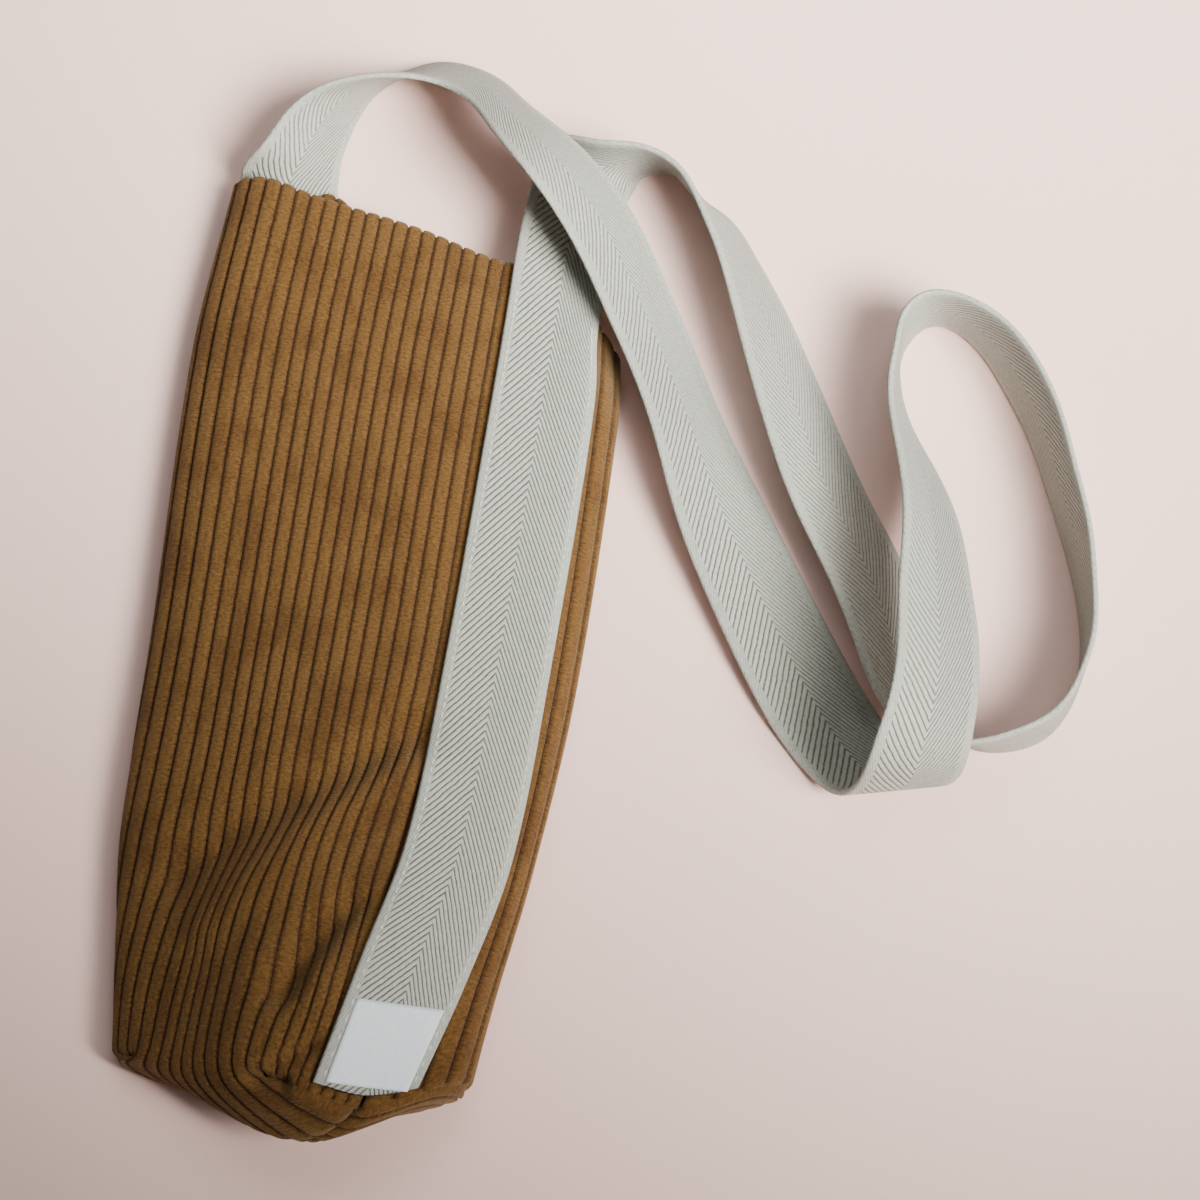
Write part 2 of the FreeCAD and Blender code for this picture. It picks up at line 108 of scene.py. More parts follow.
# Free webbing: lower edge (x, y, z), then bearing and rise of the direction to the upper edge.
ROUTE = (
    (-31, 157, 0, 180, 0), (-32.8, 163.5, 1, -177, 20), (-33.3, 170, 1, -166, 36),
    (-32.6, 181, 0, -157, 47), (-28.5, 195, 0, -140, 57), (-19, 206, 0, -92, 61),
    (-9, 211, 0, -88, 52), (6, 207.2, 5, -100, 47), (21.7, 191.2, 18, -112, 44),
    (38.7, 175.8, 26, -120, 38), (56.6, 160.3, 18.5, -126, 34), (68.1, 144.8, 10.5, -132, 36),
    (80, 126, 3, -146, 40), (94, 101, 0, -152, 38), (108, 79, 0, -150, 22),
    (124, 54, 0, -150, 12), (140, 30, 0, -152, 6), (157, 8, 1, -163, 0),
    (167, -2, 7, -165, 2), (173, -4, 19, -165, 6), (175, 2, 32, -162, 14),
    (175, 21, 34, -155, 26), (170, 50, 27, -155, 40), (164, 75, 16, -158, 54),
    (154, 97, 6, -170, 66), (146, 112, 1, 180, 77), (142, 124, 0, 180, 86),
    (142, 134, 0, -150, 88), (149, 144, 0, -105, 84), (160, 142, 0, -60, 85),
    (174, 126, 0, 10, 81), (183, 111, 0, 5, 80), (192, 90, 0, 0, 82),
    (198, 75, 0, 0, 84), (203, 58, 0, -20, 87), (205, 43, 0, -30, 88),
    (203, 30, 0, -40, 88), (196, 18, 0, -53, 85), (186, 13, 0, -85, 80),
    (176, 13, 0, -107, 70), (166, 21, 0, -127, 55), (160, 40, 0, -150, 42),
    (150, 66, 0, -150, 34), (138, 85, 0, -150, 35), (125, 108, 0, -150, 40),
    (113, 130, 0, -147, 47), (103, 147, 0, -142, 54), (94, 160, 0, -135, 60),
    (85, 170.5, 0, -118, 63), (75.2, 176.5, 0, -92, 68), (67, 184, 0, -95, 71),
    (60.8, 183.3, 0, -128, 75), (56, 178.5, 0, -178, 62), (54.2, 171, 2, 155, 34),
    (53, 157, 7, 160, 18), (54, 140, 13, 178, 12),
)


class Body(Enum):
    """Bodies of the frame that pieces ride on."""

    BAG = "bag"
    LOOP = "loop"


class Slot(Enum):
    """Material slots of the record."""

    CORDUROY = "corduroy"
    LINING = "lining"
    WEBBING = "webbing"
    LABEL = "label"


# Curves and grids


def unit(vectors: Points) -> Points:
    """Vectors at length one.

    Args:
        vectors: Array whose last axis holds x, y and z.

    Returns:
        Array of the same shape.
    """
    return vectors / np.maximum(np.linalg.norm(vectors, axis=-1, keepdims=True), 1e-9)


def spline(knots: Points, marks: Points, at: Points, closed: bool = False) -> Points:
    """Smooth curve through knots, with even bending at each of them.

    Args:
        knots: Points or rows of values (n, k); a closed curve doesn't repeat the first.
        marks: Rising parameter of each knot, with one more for a closed curve's return.
        at: Parameters to read.
        closed: Whether the curve returns to its first knot.

    Returns:
        Points at the given parameters.
    """
    count = len(knots)
    spans = np.diff(marks)
    matrix = np.eye(count)
    right = np.zeros((count, knots.shape[1]))
    for i in range(count) if closed else range(1, count - 1):
        after = (i + 1) % count
        matrix[i, i] = 2 * (spans[i - 1] + spans[i])
        matrix[i, i - 1] += spans[i - 1]
        matrix[i, after] += spans[i]
        right[i] = 6 * (
            (knots[after] - knots[i]) / spans[i] - (knots[i] - knots[i - 1]) / spans[i - 1]
        )
    bend = np.linalg.solve(matrix, right)
    low = np.clip(np.searchsorted(marks, at, side="right") - 1, 0, len(spans) - 1)
    high = (low + 1) % count
    span = spans[low][:, None]
    ahead = (at - marks[low])[:, None]
    back = span - ahead
    return (
        bend[low] * back**3 / (6 * span)
        + bend[high] * ahead**3 / (6 * span)
        + (knots[low] / span - bend[low] * span / 6) * back
        + (knots[high] / span - bend[high] * span / 6) * ahead
    )


def fade(distance: Points, reach: float) -> Points:
    """Bell-shaped weight that falls with distance.

    Args:
        distance: Distances.
        reach: Distance at which little more than a third is left.

    Returns:
        Weights, 1 at no distance.
    """
    return np.exp(-((distance / reach) ** 2))


def lengths_along(points: Points) -> Points:
    """Length from the first point to each point of a line.

    Args:
        points: Points (n, 3).

    Returns:
        Rising lengths (n,).
    """
    steps = np.linalg.norm(np.diff(points, axis=0), axis=1)
    return np.concatenate([[0.0], np.cumsum(steps)])


def grid_normals(grid: Points) -> Points:
    """Outward directions of a grid of points.

    Args:
        grid: Points (rows, columns, 3), with columns by rows turning outward.

    Returns:
        Unit directions of the same shape.
    """
    return unit(np.cross(np.gradient(grid, axis=1), np.gradient(grid, axis=0)))


class ClothMesh:
    """Mesh put together from grids that are shaped point by point."""

    def __init__(self, name: str) -> None:
        """Start an empty mesh.

        Args:
            name: Name of the finished object.
        """
        self.name = name
        self.bm = bmesh.new()
        self.uv = self.bm.loops.layers.uv.new("UVMap")

    def add_grid(self, points: Points, uv: Points) -> None:
        """Add one grid of quads.

        Args:
            points: Places (rows, columns, 3) in millimetres.
            uv: Pattern coordinates (rows, columns, 2).
        """
        rows, columns = points.shape[:2]
        made = bmesh.ops.create_grid(
            self.bm, x_segments=columns - 1, y_segments=rows - 1, size=1.0
        )
        place = {}
        flat = points.reshape(-1, 3) * MM
        for i, vert in enumerate(made["verts"]):
            vert.co = flat[i]
            place[vert] = i
        marks = uv.reshape(-1, 2)
        for face in {face for vert in made["verts"] for face in vert.link_faces}:
            for loop in face.loops:
                loop[self.uv].uv = marks[place[loop.vert]]

    def finish(self, weld: float = WELD) -> bpy.types.Object:
        """Weld the grids and make the object, shaded smooth.

        Args:
            weld: Distance in metres within which points join.

        Returns:
            The object, linked into the scene.
        """
        bmesh.ops.remove_doubles(self.bm, verts=self.bm.verts, dist=weld)
        for face in self.bm.faces:
            face.smooth = True
        mesh = bpy.data.meshes.new(self.name)
        self.bm.to_mesh(mesh)
        self.bm.free()
        obj = bpy.data.objects.new(self.name, mesh)
        bpy.context.scene.collection.objects.link(obj)
        return obj


def thicken(obj: bpy.types.Object, ply: float, offset: float = -1.0) -> None:
    """Give a cloth its thickness.

    Args:
        obj: Mesh object.
        ply: Thickness in millimetres.
        offset: Side that it grows to, -1 inward to 1 outward.
    """
    modifier = obj.modifiers.new("ply", "SOLIDIFY")
    modifier.thickness = ply * MM
    modifier.offset = offset


# The laid bag's form


class Outline:
    """Closed outline of the bag at one station, read by length from the right strap's centre."""

    samples = 481

    def __init__(self, knots: Points, fold_share: float) -> None:
        """Fit the outline.

        Args:
            knots: The sixteen leading points, in millimetres.
            fold_share: Share of each half at which its fold lies.
        """
        around = np.vstack([knots, knots[:1]])
        marks = lengths_along(around)
        self.points = spline(knots, marks, np.linspace(0.0, marks[-1], self.samples), True)
        self.lengths = lengths_along(self.points)
        self.girth = self.lengths[-1]
        self.left = self.length_near(knots[LEFT_CENTRE])
        self.folds = (self.length_near(knots[LEFT_FOLD]), self.length_near(knots[RIGHT_FOLD]))
        self.fold_share = fold_share

    def length_near(self, spot: Points) -> float:
        """Length at the place that is nearest to a spot.

        Args:
            spot: One point.

        Returns:
            Length along the outline.
        """
        return float(self.lengths[np.argmin(np.linalg.norm(self.points - spot, axis=1))])

    def length_at(self, share: Points) -> Points:
        """Lengths at shares of the way round.

        Args:
            share: Shares, 0 right strap, 1 left strap, 2 right strap again.

        Returns:
            Lengths along the outline.
        """
        fold = self.fold_share
        return np.interp(
            share,
            (0.0, fold, 1.0, 1.0 + fold, 2.0),
            (0.0, self.folds[0], self.left, self.folds[1], self.girth),
        )

    def at(self, length: Points) -> Points:
        """Points at lengths along the outline.

        Args:
            length: Lengths, positive over the top from the right strap's centre.

        Returns:
            Points, one axis more than the lengths.
        """
        wrapped = np.mod(length, self.girth)
        axes = [np.interp(wrapped, self.lengths, self.points[:, i]) for i in range(3)]
        return np.stack(axes, axis=-1)


@dataclass(frozen=True)
class Fold:
    """Soft ridge or dent along a line in plan.

    Attributes:
        line: Plan points (x, y) of the line, in millimetres.
        reach: Half width of the fold.
        rise: Height out of the cloth, negative for a dent.
    """

    line: tuple[tuple[float, float], ...]
    reach: float
    rise: float

    def height(self, spots: Points) -> Points:
        """Height of the fold at plan places.

        Args:
            spots: Points with x and y first on the last axis.

        Returns:
            Heights in millimetres.
        """
        nearest = np.full(spots.shape[:-1], np.inf)
        for start, end in zip(np.array(self.line), np.array(self.line)[1:]):
            away = spots[..., :2] - start
            share = np.clip((away @ (end - start)) / ((end - start) @ (end - start)), 0.0, 1.0)
            gap = np.linalg.norm(away - share[..., None] * (end - start), axis=-1)
            nearest = np.minimum(nearest, gap)
        return self.rise * fade(nearest, self.reach)


@dataclass(frozen=True)
class Pull:
    """How far pulled cloth carries the front panel's wales away from the right seam.

    Attributes:
        count: Wales of the whole panel.
        wales: Wales that the rows name, counted from the right seam.
        rows: Stations from base to rim, each with these wales' shifts in wale widths.
    """

    count: int
    wales: tuple[int, ...]
    rows: tuple[tuple[float, tuple[float, ...]], ...]

    def at(self, wale: Points, station: Points) -> Points:
        """Shares of the sewn panel for places of the cut panel.

        Args:
            wale: Places across the cut panel as shares, one for each column.
            station: Station of each row.

        Returns:
            Shares (rows, columns).
        """
        marks = np.array((0, *self.wales, self.count)) / self.count
        shifts = np.array([(0.0, *shift, 0.0) for _, shift in self.rows]) / self.count
        across = spline(shifts.T, marks, wale)
        return wale + spline(across.T, np.array([mark for mark, _ in self.rows]), station)


@dataclass
class BagSkin:
    """Outer surface of the laid bag, over six stations from base to rim."""

    half_width: float = 60.0
    length: float = 262.0
    base_offset: float = 112.0
    rim_skew: float = 34.0
    base_sag: float = 15.0
    mouth_rise: float = 18.0
    mid_rise: float = 23.0
    heel_rise: float = 40.0
    base_rise: float = 42.0
    fold_share: float = 0.84
    stations: tuple[float, ...] = (0.0, 0.09, 0.24, 0.46, 0.82, 1.0)
    folds: tuple[Fold, ...] = ()
    pull: Pull | None = None

    def __post_init__(self) -> None:
        """Fit the outline of each station."""
        tables = (
            (BASE, self.base_sag, self.base_rise),
            (HEEL, 0.0, self.heel_rise),
            (LOWER, 0.0, self.heel_rise),
            (MIDDLE, 0.0, self.mid_rise),
            (UPPER, -self.rim_skew, self.mouth_rise),
            (MOUTH, -self.rim_skew, self.mouth_rise),
        )
        self.outlines = []
        for station, (table, slide, rise) in zip(self.stations, tables):
            knots = np.array(table) * np.array((self.half_width, slide, rise))
            knots[:, 1] += station * self.length - self.base_offset
            self.outlines.append(Outline(knots, self.fold_share))

    def between(self, rows: Points, station: Points) -> Points:
        """Smooth blend of places that are given for each outline.

        Args:
            rows: Places (outlines, rows, columns, 3).
            station: Station of each row.

        Returns:
            Places (rows, columns, 3).
        """
        knots = np.array(self.stations)
        slopes = np.empty_like(rows)
        slopes[0] = (rows[1] - rows[0]) / (knots[1] - knots[0])
        slopes[-1] = (rows[-1] - rows[-2]) / (knots[-1] - knots[-2])
        wide = (knots[2:] - knots[:-2])[:, None, None, None]
        slopes[1:-1] = (rows[2:] - rows[:-2]) / wide
        low = np.clip(np.searchsorted(knots, station, side="right") - 1, 0, len(knots) - 2)
        each = np.arange(len(station))
        step = (knots[low + 1] - knots[low])[:, None, None]
        t = (station - knots[low])[:, None, None] / step
        return (
            rows[low, each] * (2 * t**3 - 3 * t**2 + 1)
            + slopes[low, each] * step * (t**3 - 2 * t**2 + t)
            + rows[low + 1, each] * (3 * t**2 - 2 * t**3)
            + slopes[low + 1, each] * step * (t**3 - t**2)
        )

    def by_share(self, share: Points, station: Points) -> Points:
        """Places at shares of the way round.

        Args:
            share: Shares (rows, columns).
            station: Station of each row.

        Returns:
            Places (rows, columns, 3).
        """
        rows = np.stack([outline.at(outline.length_at(share)) for outline in self.outlines])
        return self.between(rows, station)

    def by_length(self, length: Points, station: Points) -> Points:
        """Places at lengths from the right strap's centre.

        Args:
            length: Lengths of the columns.
            station: Station of each row.

        Returns:
            Places (rows, columns, 3).
        """
        wide = np.broadcast_to(length, (len(station), len(length)))
        return self.between(np.stack([outline.at(wide) for outline in self.outlines]), station)

    def relief(self, spots: Points) -> Points:
        """Height of the folds over the plain form.

        Args:
            spots: Places, whose plan is read.

        Returns:
            Heights in millimetres.
        """
        total = np.zeros(spots.shape[:-1])
        for fold in self.folds:
            total += fold.height(spots)
        return total


# Shader building


class Shader:
    """Small builder round one node tree."""

    def __init__(self, tree: bpy.types.NodeTree) -> None:
        """Take a tree.

        Args:
            tree: Tree of a material or a node group.
        """
        self.tree = tree

    def add(self, kind: str, **settings: object) -> bpy.types.Node:
        """Add a node.

        Args:
            kind: Type of node.
            **settings: Properties to set on it.

        Returns:
            The node.
        """
        node = self.tree.nodes.new(kind)
        for name, value in settings.items():
            setattr(node, name, value)
        return node

    def feed(self, socket: Socket, value: object) -> None:
        """Link a socket, or set its constant.

        Args:
            socket: Input to fill.
            value: Output socket or constant.
        """
        if isinstance(value, Socket):
            self.tree.links.new(value, socket)
        else:
            socket.default_value = value

    def math(self, operation: str, first: object, second: object = 0.0, third: object = 0.0) -> Socket:
        """Value of a math node.

        Args:
            operation: Operation of the node.
            first: First input.
            second: Second input.
            third: Third input.

        Returns:
            Output socket.
        """
        node = self.add("ShaderNodeMath", operation=operation)
        for socket, value in zip(node.inputs, (first, second, third)):
            self.feed(socket, value)
        return node.outputs[0]

    def ramp(self, value: object, low: float, high: float) -> Socket:
        """Value eased from 0 at one end to 1 at the other.

        Args:
            value: Input.
            low: Input that gives 0.
            high: Input that gives 1.

        Returns:
            Output socket.
        """
        node = self.add("ShaderNodeMapRange", interpolation_type="SMOOTHSTEP")
        for socket, given in zip(node.inputs, (value, low, high, 0.0, 1.0)):
            self.feed(socket, given)
        return node.outputs[0]

    def sway(self, value: object, noise: Socket, amount: float) -> Socket:
        """Value moved to both sides by a noise.

        Args:
            value: Input.
            noise: Noise with a middle of one half.
            amount: How far the whole noise moves it.

        Returns:
            Output socket.
        """
        return self.math("MULTIPLY_ADD", self.math("SUBTRACT", noise, 0.5), amount, value)

    def rib(self, value: object, power: float) -> Socket:
        """Rounded rib over each whole step of a value.

        Args:
            value: Input.
            power: How flat the crown is and how steep the flanks are.

        Returns:
            Output socket, 0 in the grooves and 1 on the crowns.
        """
        part = self.math("FRACT", value)
        side = self.math("ABSOLUTE", self.math("MULTIPLY_ADD", part, 2.0, -1.0))
        fall = self.math("SUBTRACT", 1.0, self.math("POWER", side, power))
        return self.math("SQRT", self.math("MAXIMUM", fall, 0.0))

    def mix(self, factor: object, first: object, second: object, blend: str = "MIX") -> Socket:
        """Mixed colour.

        Args:
            factor: Share of the second colour.
            first: First colour.
            second: Second colour.
            blend: Blend mode.

        Returns:
            Output socket.
        """
        node = self.add("ShaderNodeMix", data_type="RGBA", blend_type=blend)
        for index, given in ((0, factor), (6, first), (7, second)):
            self.feed(node.inputs[index], given)
        return node.outputs[2]

    def shade(self, colour: object, light: Socket) -> Socket:
        """Colour times a grey value.

        Args:
            colour: Colour.
            light: Grey value.

        Returns:
            Output socket.
        """
        return self.mix(1.0, colour, self.join(light, light, light), "MULTIPLY")

    def split(self, vector: Socket) -> tuple[Socket, Socket, Socket]:
        """Parts of a vector.

        Args:
            vector: Vector socket.

        Returns:
            The x, y and z sockets.
        """
        node = self.add("ShaderNodeSeparateXYZ")
        self.feed(node.inputs[0], vector)
        return node.outputs[0], node.outputs[1], node.outputs[2]

    def stretch(self, x: Socket, y: Socket, wide: float, tall: float) -> Socket:
        """Flat coordinates with each axis scaled.

        Args:
            x: First coordinate.
            y: Second coordinate.
            wide: Scale of the first.
            tall: Scale of the second.

        Returns:
            Output socket.
        """
        return self.join(self.math("MULTIPLY", x, wide), self.math("MULTIPLY", y, tall))

    def join(self, x: object, y: object, z: object = 0.0) -> Socket:
        """Vector of three values.

        Args:
            x: First part.
            y: Second part.
            z: Third part.

        Returns:
            Output socket.
        """
        node = self.add("ShaderNodeCombineXYZ")
        for socket, given in zip(node.inputs, (x, y, z)):
            self.feed(socket, given)
        return node.outputs[0]

    def noise(self, vector: object, scale: float, detail: float = 2.0, rough: float = 0.5) -> Socket:
        """Noise value.

        Args:
            vector: Coordinates.
            scale: Scale of the noise.
            detail: Octaves.
            rough: Weight of the finer octaves.

        Returns:
            Output socket.
        """
        node = self.add("ShaderNodeTexNoise")
        self.feed(node.inputs["Vector"], vector)
        node.inputs["Scale"].default_value = scale
        node.inputs["Detail"].default_value = detail
        node.inputs["Roughness"].default_value = rough
        return node.outputs[0]

    def bump(self, height: object, strength: float, distance: float) -> Socket:
        """Normal of a bumped surface.

        Args:
            height: Height socket.
            strength: Strength of the bump.
            distance: Depth in metres.

        Returns:
            Output socket.
        """
        node = self.add("ShaderNodeBump")
        node.inputs["Strength"].default_value = strength
        node.inputs["Distance"].default_value = distance
        self.feed(node.inputs["Height"], height)
        return node.outputs[0]

    def group(self, tree: bpy.types.NodeTree, vector: object) -> bpy.types.Node:
        """Node of a group fed with coordinates.

        Args:
            tree: Node group.
            vector: Coordinates.

        Returns:
            The node.
        """
        node = self.add("ShaderNodeGroup", node_tree=tree)
        self.feed(node.inputs[0], vector)
        return node

    def close(self, end: bpy.types.Node, *values: Socket) -> bpy.types.NodeTree:
        """Feed the outputs of a group.

        Args:
            end: Output node of the group.
            *values: Its outputs in order.

        Returns:
            The finished group.
        """
        for socket, value in zip(end.inputs, values):
            self.feed(socket, value)
        return self.tree


def new_group(name: str, outputs: tuple[str, ...]) -> tuple[Shader, Socket, bpy.types.Node]:
    """Start a node group that turns coordinates into values.

    Args:
        name: Name of the group.
        outputs: Names of its float outputs.

    Returns:
        Builder, the coordinates' socket and the output node.
    """
    tree = bpy.data.node_groups.new(name, "ShaderNodeTree")
    tree.interface.new_socket("Vector", in_out="INPUT", socket_type="NodeSocketVector")
    for output in outputs:
        tree.interface.new_socket(output, in_out="OUTPUT", socket_type="NodeSocketFloat")
    shader = Shader(tree)
    start = shader.add("NodeGroupInput")
    return shader, start.outputs[0], shader.add("NodeGroupOutput")


@dataclass(frozen=True)
class Pile:
    """Pile of a corduroy, with lengths in wale widths.

    Attributes:
        wander: How far the grooves stray from straight lines.
        drift: How fast they stray, across and along.
        crown_power: How flat the crowns are.
        tufts: Tufts to a wale width, across and along.
        nap: Patches of brushed nap to a wale width, across and along.
    """

    wander: float = 0.10
    drift: tuple[float, float] = (0.6, 1.0)
    crown_power: float = 3.0
    tufts: tuple[float, float] = (3.6, 6.0)
    nap: tuple[float, float] = (0.32, 0.2)

    def group(self) -> bpy.types.NodeTree:
        """Make the node group.

        Returns:
            Group with the crown, the tufts and the brushed nap.
        """
        shader, vector, end = new_group("wale_pile", ("Crown", "Tuft", "Nap"))
        across, along, _ = shader.split(vector)
        drift = shader.noise(shader.stretch(across, along, *self.drift), scale=1.6)
        crown = shader.rib(shader.sway(across, drift, self.wander), self.crown_power)
        tuft = shader.noise(shader.stretch(across, along, *self.tufts), scale=1.0, detail=3.0, rough=0.75)
        nap = shader.noise(shader.stretch(across, along, *self.nap), scale=1.0, detail=4.0, rough=0.58)
        return shader.close(end, crown, tuft, nap)


@dataclass(frozen=True)
class Herringbone:
    """Weave of the webbing, with a share across and millimetres along.

    Attributes:
        pitch: Distance of the twill bars along the webbing.
        climbs: How far a bar climbs over the whole width, on each side of the middle.
        wobble: How far the bars stray.
        stray: How fast they stray, across and along.
        bar_power: How flat the bars are.
        selvage: Shares from the middle between which the selvage takes over.
        rope_climb: Climb of the selvage's bars.
        rope: Depth and floor of the selvage's bars.
        flecks: Seed flecks across and along.
        fleck_ends: Noise values between which a fleck comes up.
    """

    pitch: float = 2.6
    climbs: tuple[float, float] = (42.0, -63.0)
    wobble: float = 0.9
    stray: tuple[float, float] = (9.0, 1.0)
    bar_power: float = 2.4
    selvage: tuple[float, float] = (0.395, 0.41)
    rope_climb: float = 95.0
    rope: tuple[float, float] = (0.25, 0.68)
    flecks: tuple[float, float] = (60.0, 1.1)
    fleck_ends: tuple[float, float] = (0.67, 0.74)

    def group(self) -> bpy.types.NodeTree:
        """Make the node group.

        Returns:
            Group with the ribs and the flecks.
        """
        shader, vector, end = new_group("herringbone", ("Rib", "Fleck"))
        across, along, _ = shader.split(vector)
        off = shader.math("SUBTRACT", across, 0.5)
        left = shader.math("MULTIPLY", shader.math("MAXIMUM", off, 0.0), self.climbs[0])
        right = shader.math("MULTIPLY", shader.math("MINIMUM", off, 0.0), self.climbs[1])
        height = shader.math("ADD", shader.math("ADD", left, right), along)
        stray = shader.noise(shader.stretch(across, along, *self.stray), scale=0.35)
        height = shader.sway(height, stray, self.wobble)
        twill = shader.rib(shader.math("DIVIDE", height, self.pitch), self.bar_power)
        edge = shader.math("ABSOLUTE", off)
        cord = shader.math("MULTIPLY", shader.math("SUBTRACT", edge, self.selvage[1]), self.rope_climb)
        turn = shader.math("DIVIDE", shader.math("ADD", along, cord), self.pitch)
        rope = shader.math("MULTIPLY_ADD", shader.rib(turn, 2.0), *self.rope)
        rib = shader.add("ShaderNodeMix", data_type="FLOAT")
        for index, given in ((0, shader.ramp(edge, *self.selvage)), (2, twill), (3, rope)):
            shader.feed(rib.inputs[index], given)
        speck = shader.noise(shader.stretch(across, along, *self.flecks), scale=1.0, detail=3.0, rough=0.7)
        return shader.close(end, rib.outputs[0], shader.ramp(speck, *self.fleck_ends))


@dataclass(frozen=True)
class Fibre:
    """Fine fibre and plain weave of cotton.

    Attributes:
        threads: Turns of the weave in radians to the metre.
        grain: Scale of the fibre's noise.
    """

    threads: float = 7800.0
    grain: float = 900.0

    def group(self) -> bpy.types.NodeTree:
        """Make the node group.

        Returns:
            Group with the weave and the grain.
        """
        shader, vector, end = new_group("fine_fibre", ("Weave", "Grain"))
        x, y, _ = shader.split(vector)
        warp, weft = (shader.math("SINE", shader.math("MULTIPLY", axis, self.threads)) for axis in (x, y))
        weave = shader.math("MULTIPLY_ADD", shader.math("MULTIPLY", warp, weft), 0.5, 0.5)
        return shader.close(end, weave, shader.noise(vector, self.grain, detail=3.0, rough=0.6))


class Patterns:
    """Shared cloth patterns, each made once as a node group."""

    def __init__(self) -> None:
        """Make the groups."""
        self.wale = Pile().group()
        self.chevron = Herringbone().group()
        self.fibre = Fibre().group()


class Colour(tuple):
    """Linear colour from a screen colour."""

    def __new__(cls, red: int, green: int, blue: int) -> "Colour":
        """Turn screen values into a linear colour.

        Args:
            red: Red, 0 to 255.
            green: Green.
            blue: Blue.

        Returns:
            Colour with an alpha of one.
        """
        parts = [c / 255 for c in (red, green, blue)]
        line = [p / 12.92 if p <= 0.04045 else ((p + 0.055) / 1.055) ** 2.4 for p in parts]
        return super().__new__(cls, (*line, 1.0))


def principled(name: str) -> tuple[bpy.types.Material, Shader, bpy.types.Node]:
    """New material with its shader node.

    Args:
        name: Name of the material.

    Returns:
        Material, builder and Principled node.
    """
    material = bpy.data.materials.new(name)
    material.use_nodes = True
    return material, Shader(material.node_tree), material.node_tree.nodes["Principled BSDF"]


@dataclass(frozen=True)
class Gloss:
    """How a surface takes the light."""

    roughness: float
    specular: float
    sheen: float
    sheen_roughness: float = 0.5
    sheen_tint: tuple[float, float, float, float] = (1.0, 1.0, 1.0, 1.0)

    def apply(self, cloth: bpy.types.Node) -> None:
        """Set the values on a shader.

        Args:
            cloth: Principled node.
        """
        cloth.inputs["Roughness"].default_value = self.roughness
        cloth.inputs["Specular IOR Level"].default_value = self.specular
        cloth.inputs["Sheen Weight"].default_value = self.sheen
        cloth.inputs["Sheen Roughness"].default_value = self.sheen_roughness
        cloth.inputs["Sheen Tint"].default_value = self.sheen_tint


@dataclass(frozen=True)
class CorduroyFinish:
    """Caramel cotton corduroy with a brushed pile.

    Attributes:
        crown: Colour of the crowns, from crown_ends of the rib's height.
        flank: Colour of the flanks, from groove_ends.
        groove: Colour of the grooves.
        brushed: Tint of the brushed nap, over nap_ends of its noise.
        brushed_share: Strength of that tint.
        dotting: How far the tufts break up the bounds of the colours.
        tuft_light: Gain and offset of the tufts' light and shade.
        bump: Strength and depth of the tufts.
        gloss: How the cloth takes the light.
    """

    crown: Colour = Colour(101, 71, 34)
    flank: Colour = Colour(80, 53, 23)
    groove: Colour = Colour(44, 25, 12)
    brushed: Colour = Colour(196, 178, 160)
    brushed_share: float = 0.6
    groove_ends: tuple[float, float] = (0.30, 0.62)
    crown_ends: tuple[float, float] = (0.60, 0.98)
    nap_ends: tuple[float, float] = (0.44, 0.66)
    dotting: float = 0.5
    tuft_light: tuple[float, float] = (2.4, -0.2)
    bump: tuple[float, float] = (0.9, 0.0008)
    gloss: Gloss = Gloss(0.85, 0.15, 0.22, 0.45, (0.95, 0.74, 0.48, 1.0))

    def make(self, patterns: Patterns) -> bpy.types.Material:
        """Build the material.

        Args:
            patterns: Shared node groups.

        Returns:
            Material.
        """
        material, shader, cloth = principled("corduroy_cloth")
        pile = shader.group(patterns.wale, shader.add("ShaderNodeUVMap").outputs[0])
        crown, tuft, nap = pile.outputs
        dotted = shader.sway(crown, tuft, self.dotting)
        base = shader.mix(shader.ramp(dotted, *self.groove_ends), self.groove, self.flank)
        base = shader.mix(shader.ramp(dotted, *self.crown_ends), base, self.crown)
        patch = shader.math("MULTIPLY", shader.ramp(nap, *self.nap_ends), self.brushed_share)
        base = shader.mix(patch, base, self.brushed, "MULTIPLY")
        base = shader.shade(base, shader.math("MULTIPLY_ADD", tuft, *self.tuft_light))
        shader.feed(cloth.inputs["Base Color"], base)
        shader.feed(cloth.inputs["Normal"], shader.bump(tuft, *self.bump))
        self.gloss.apply(cloth)
        return material


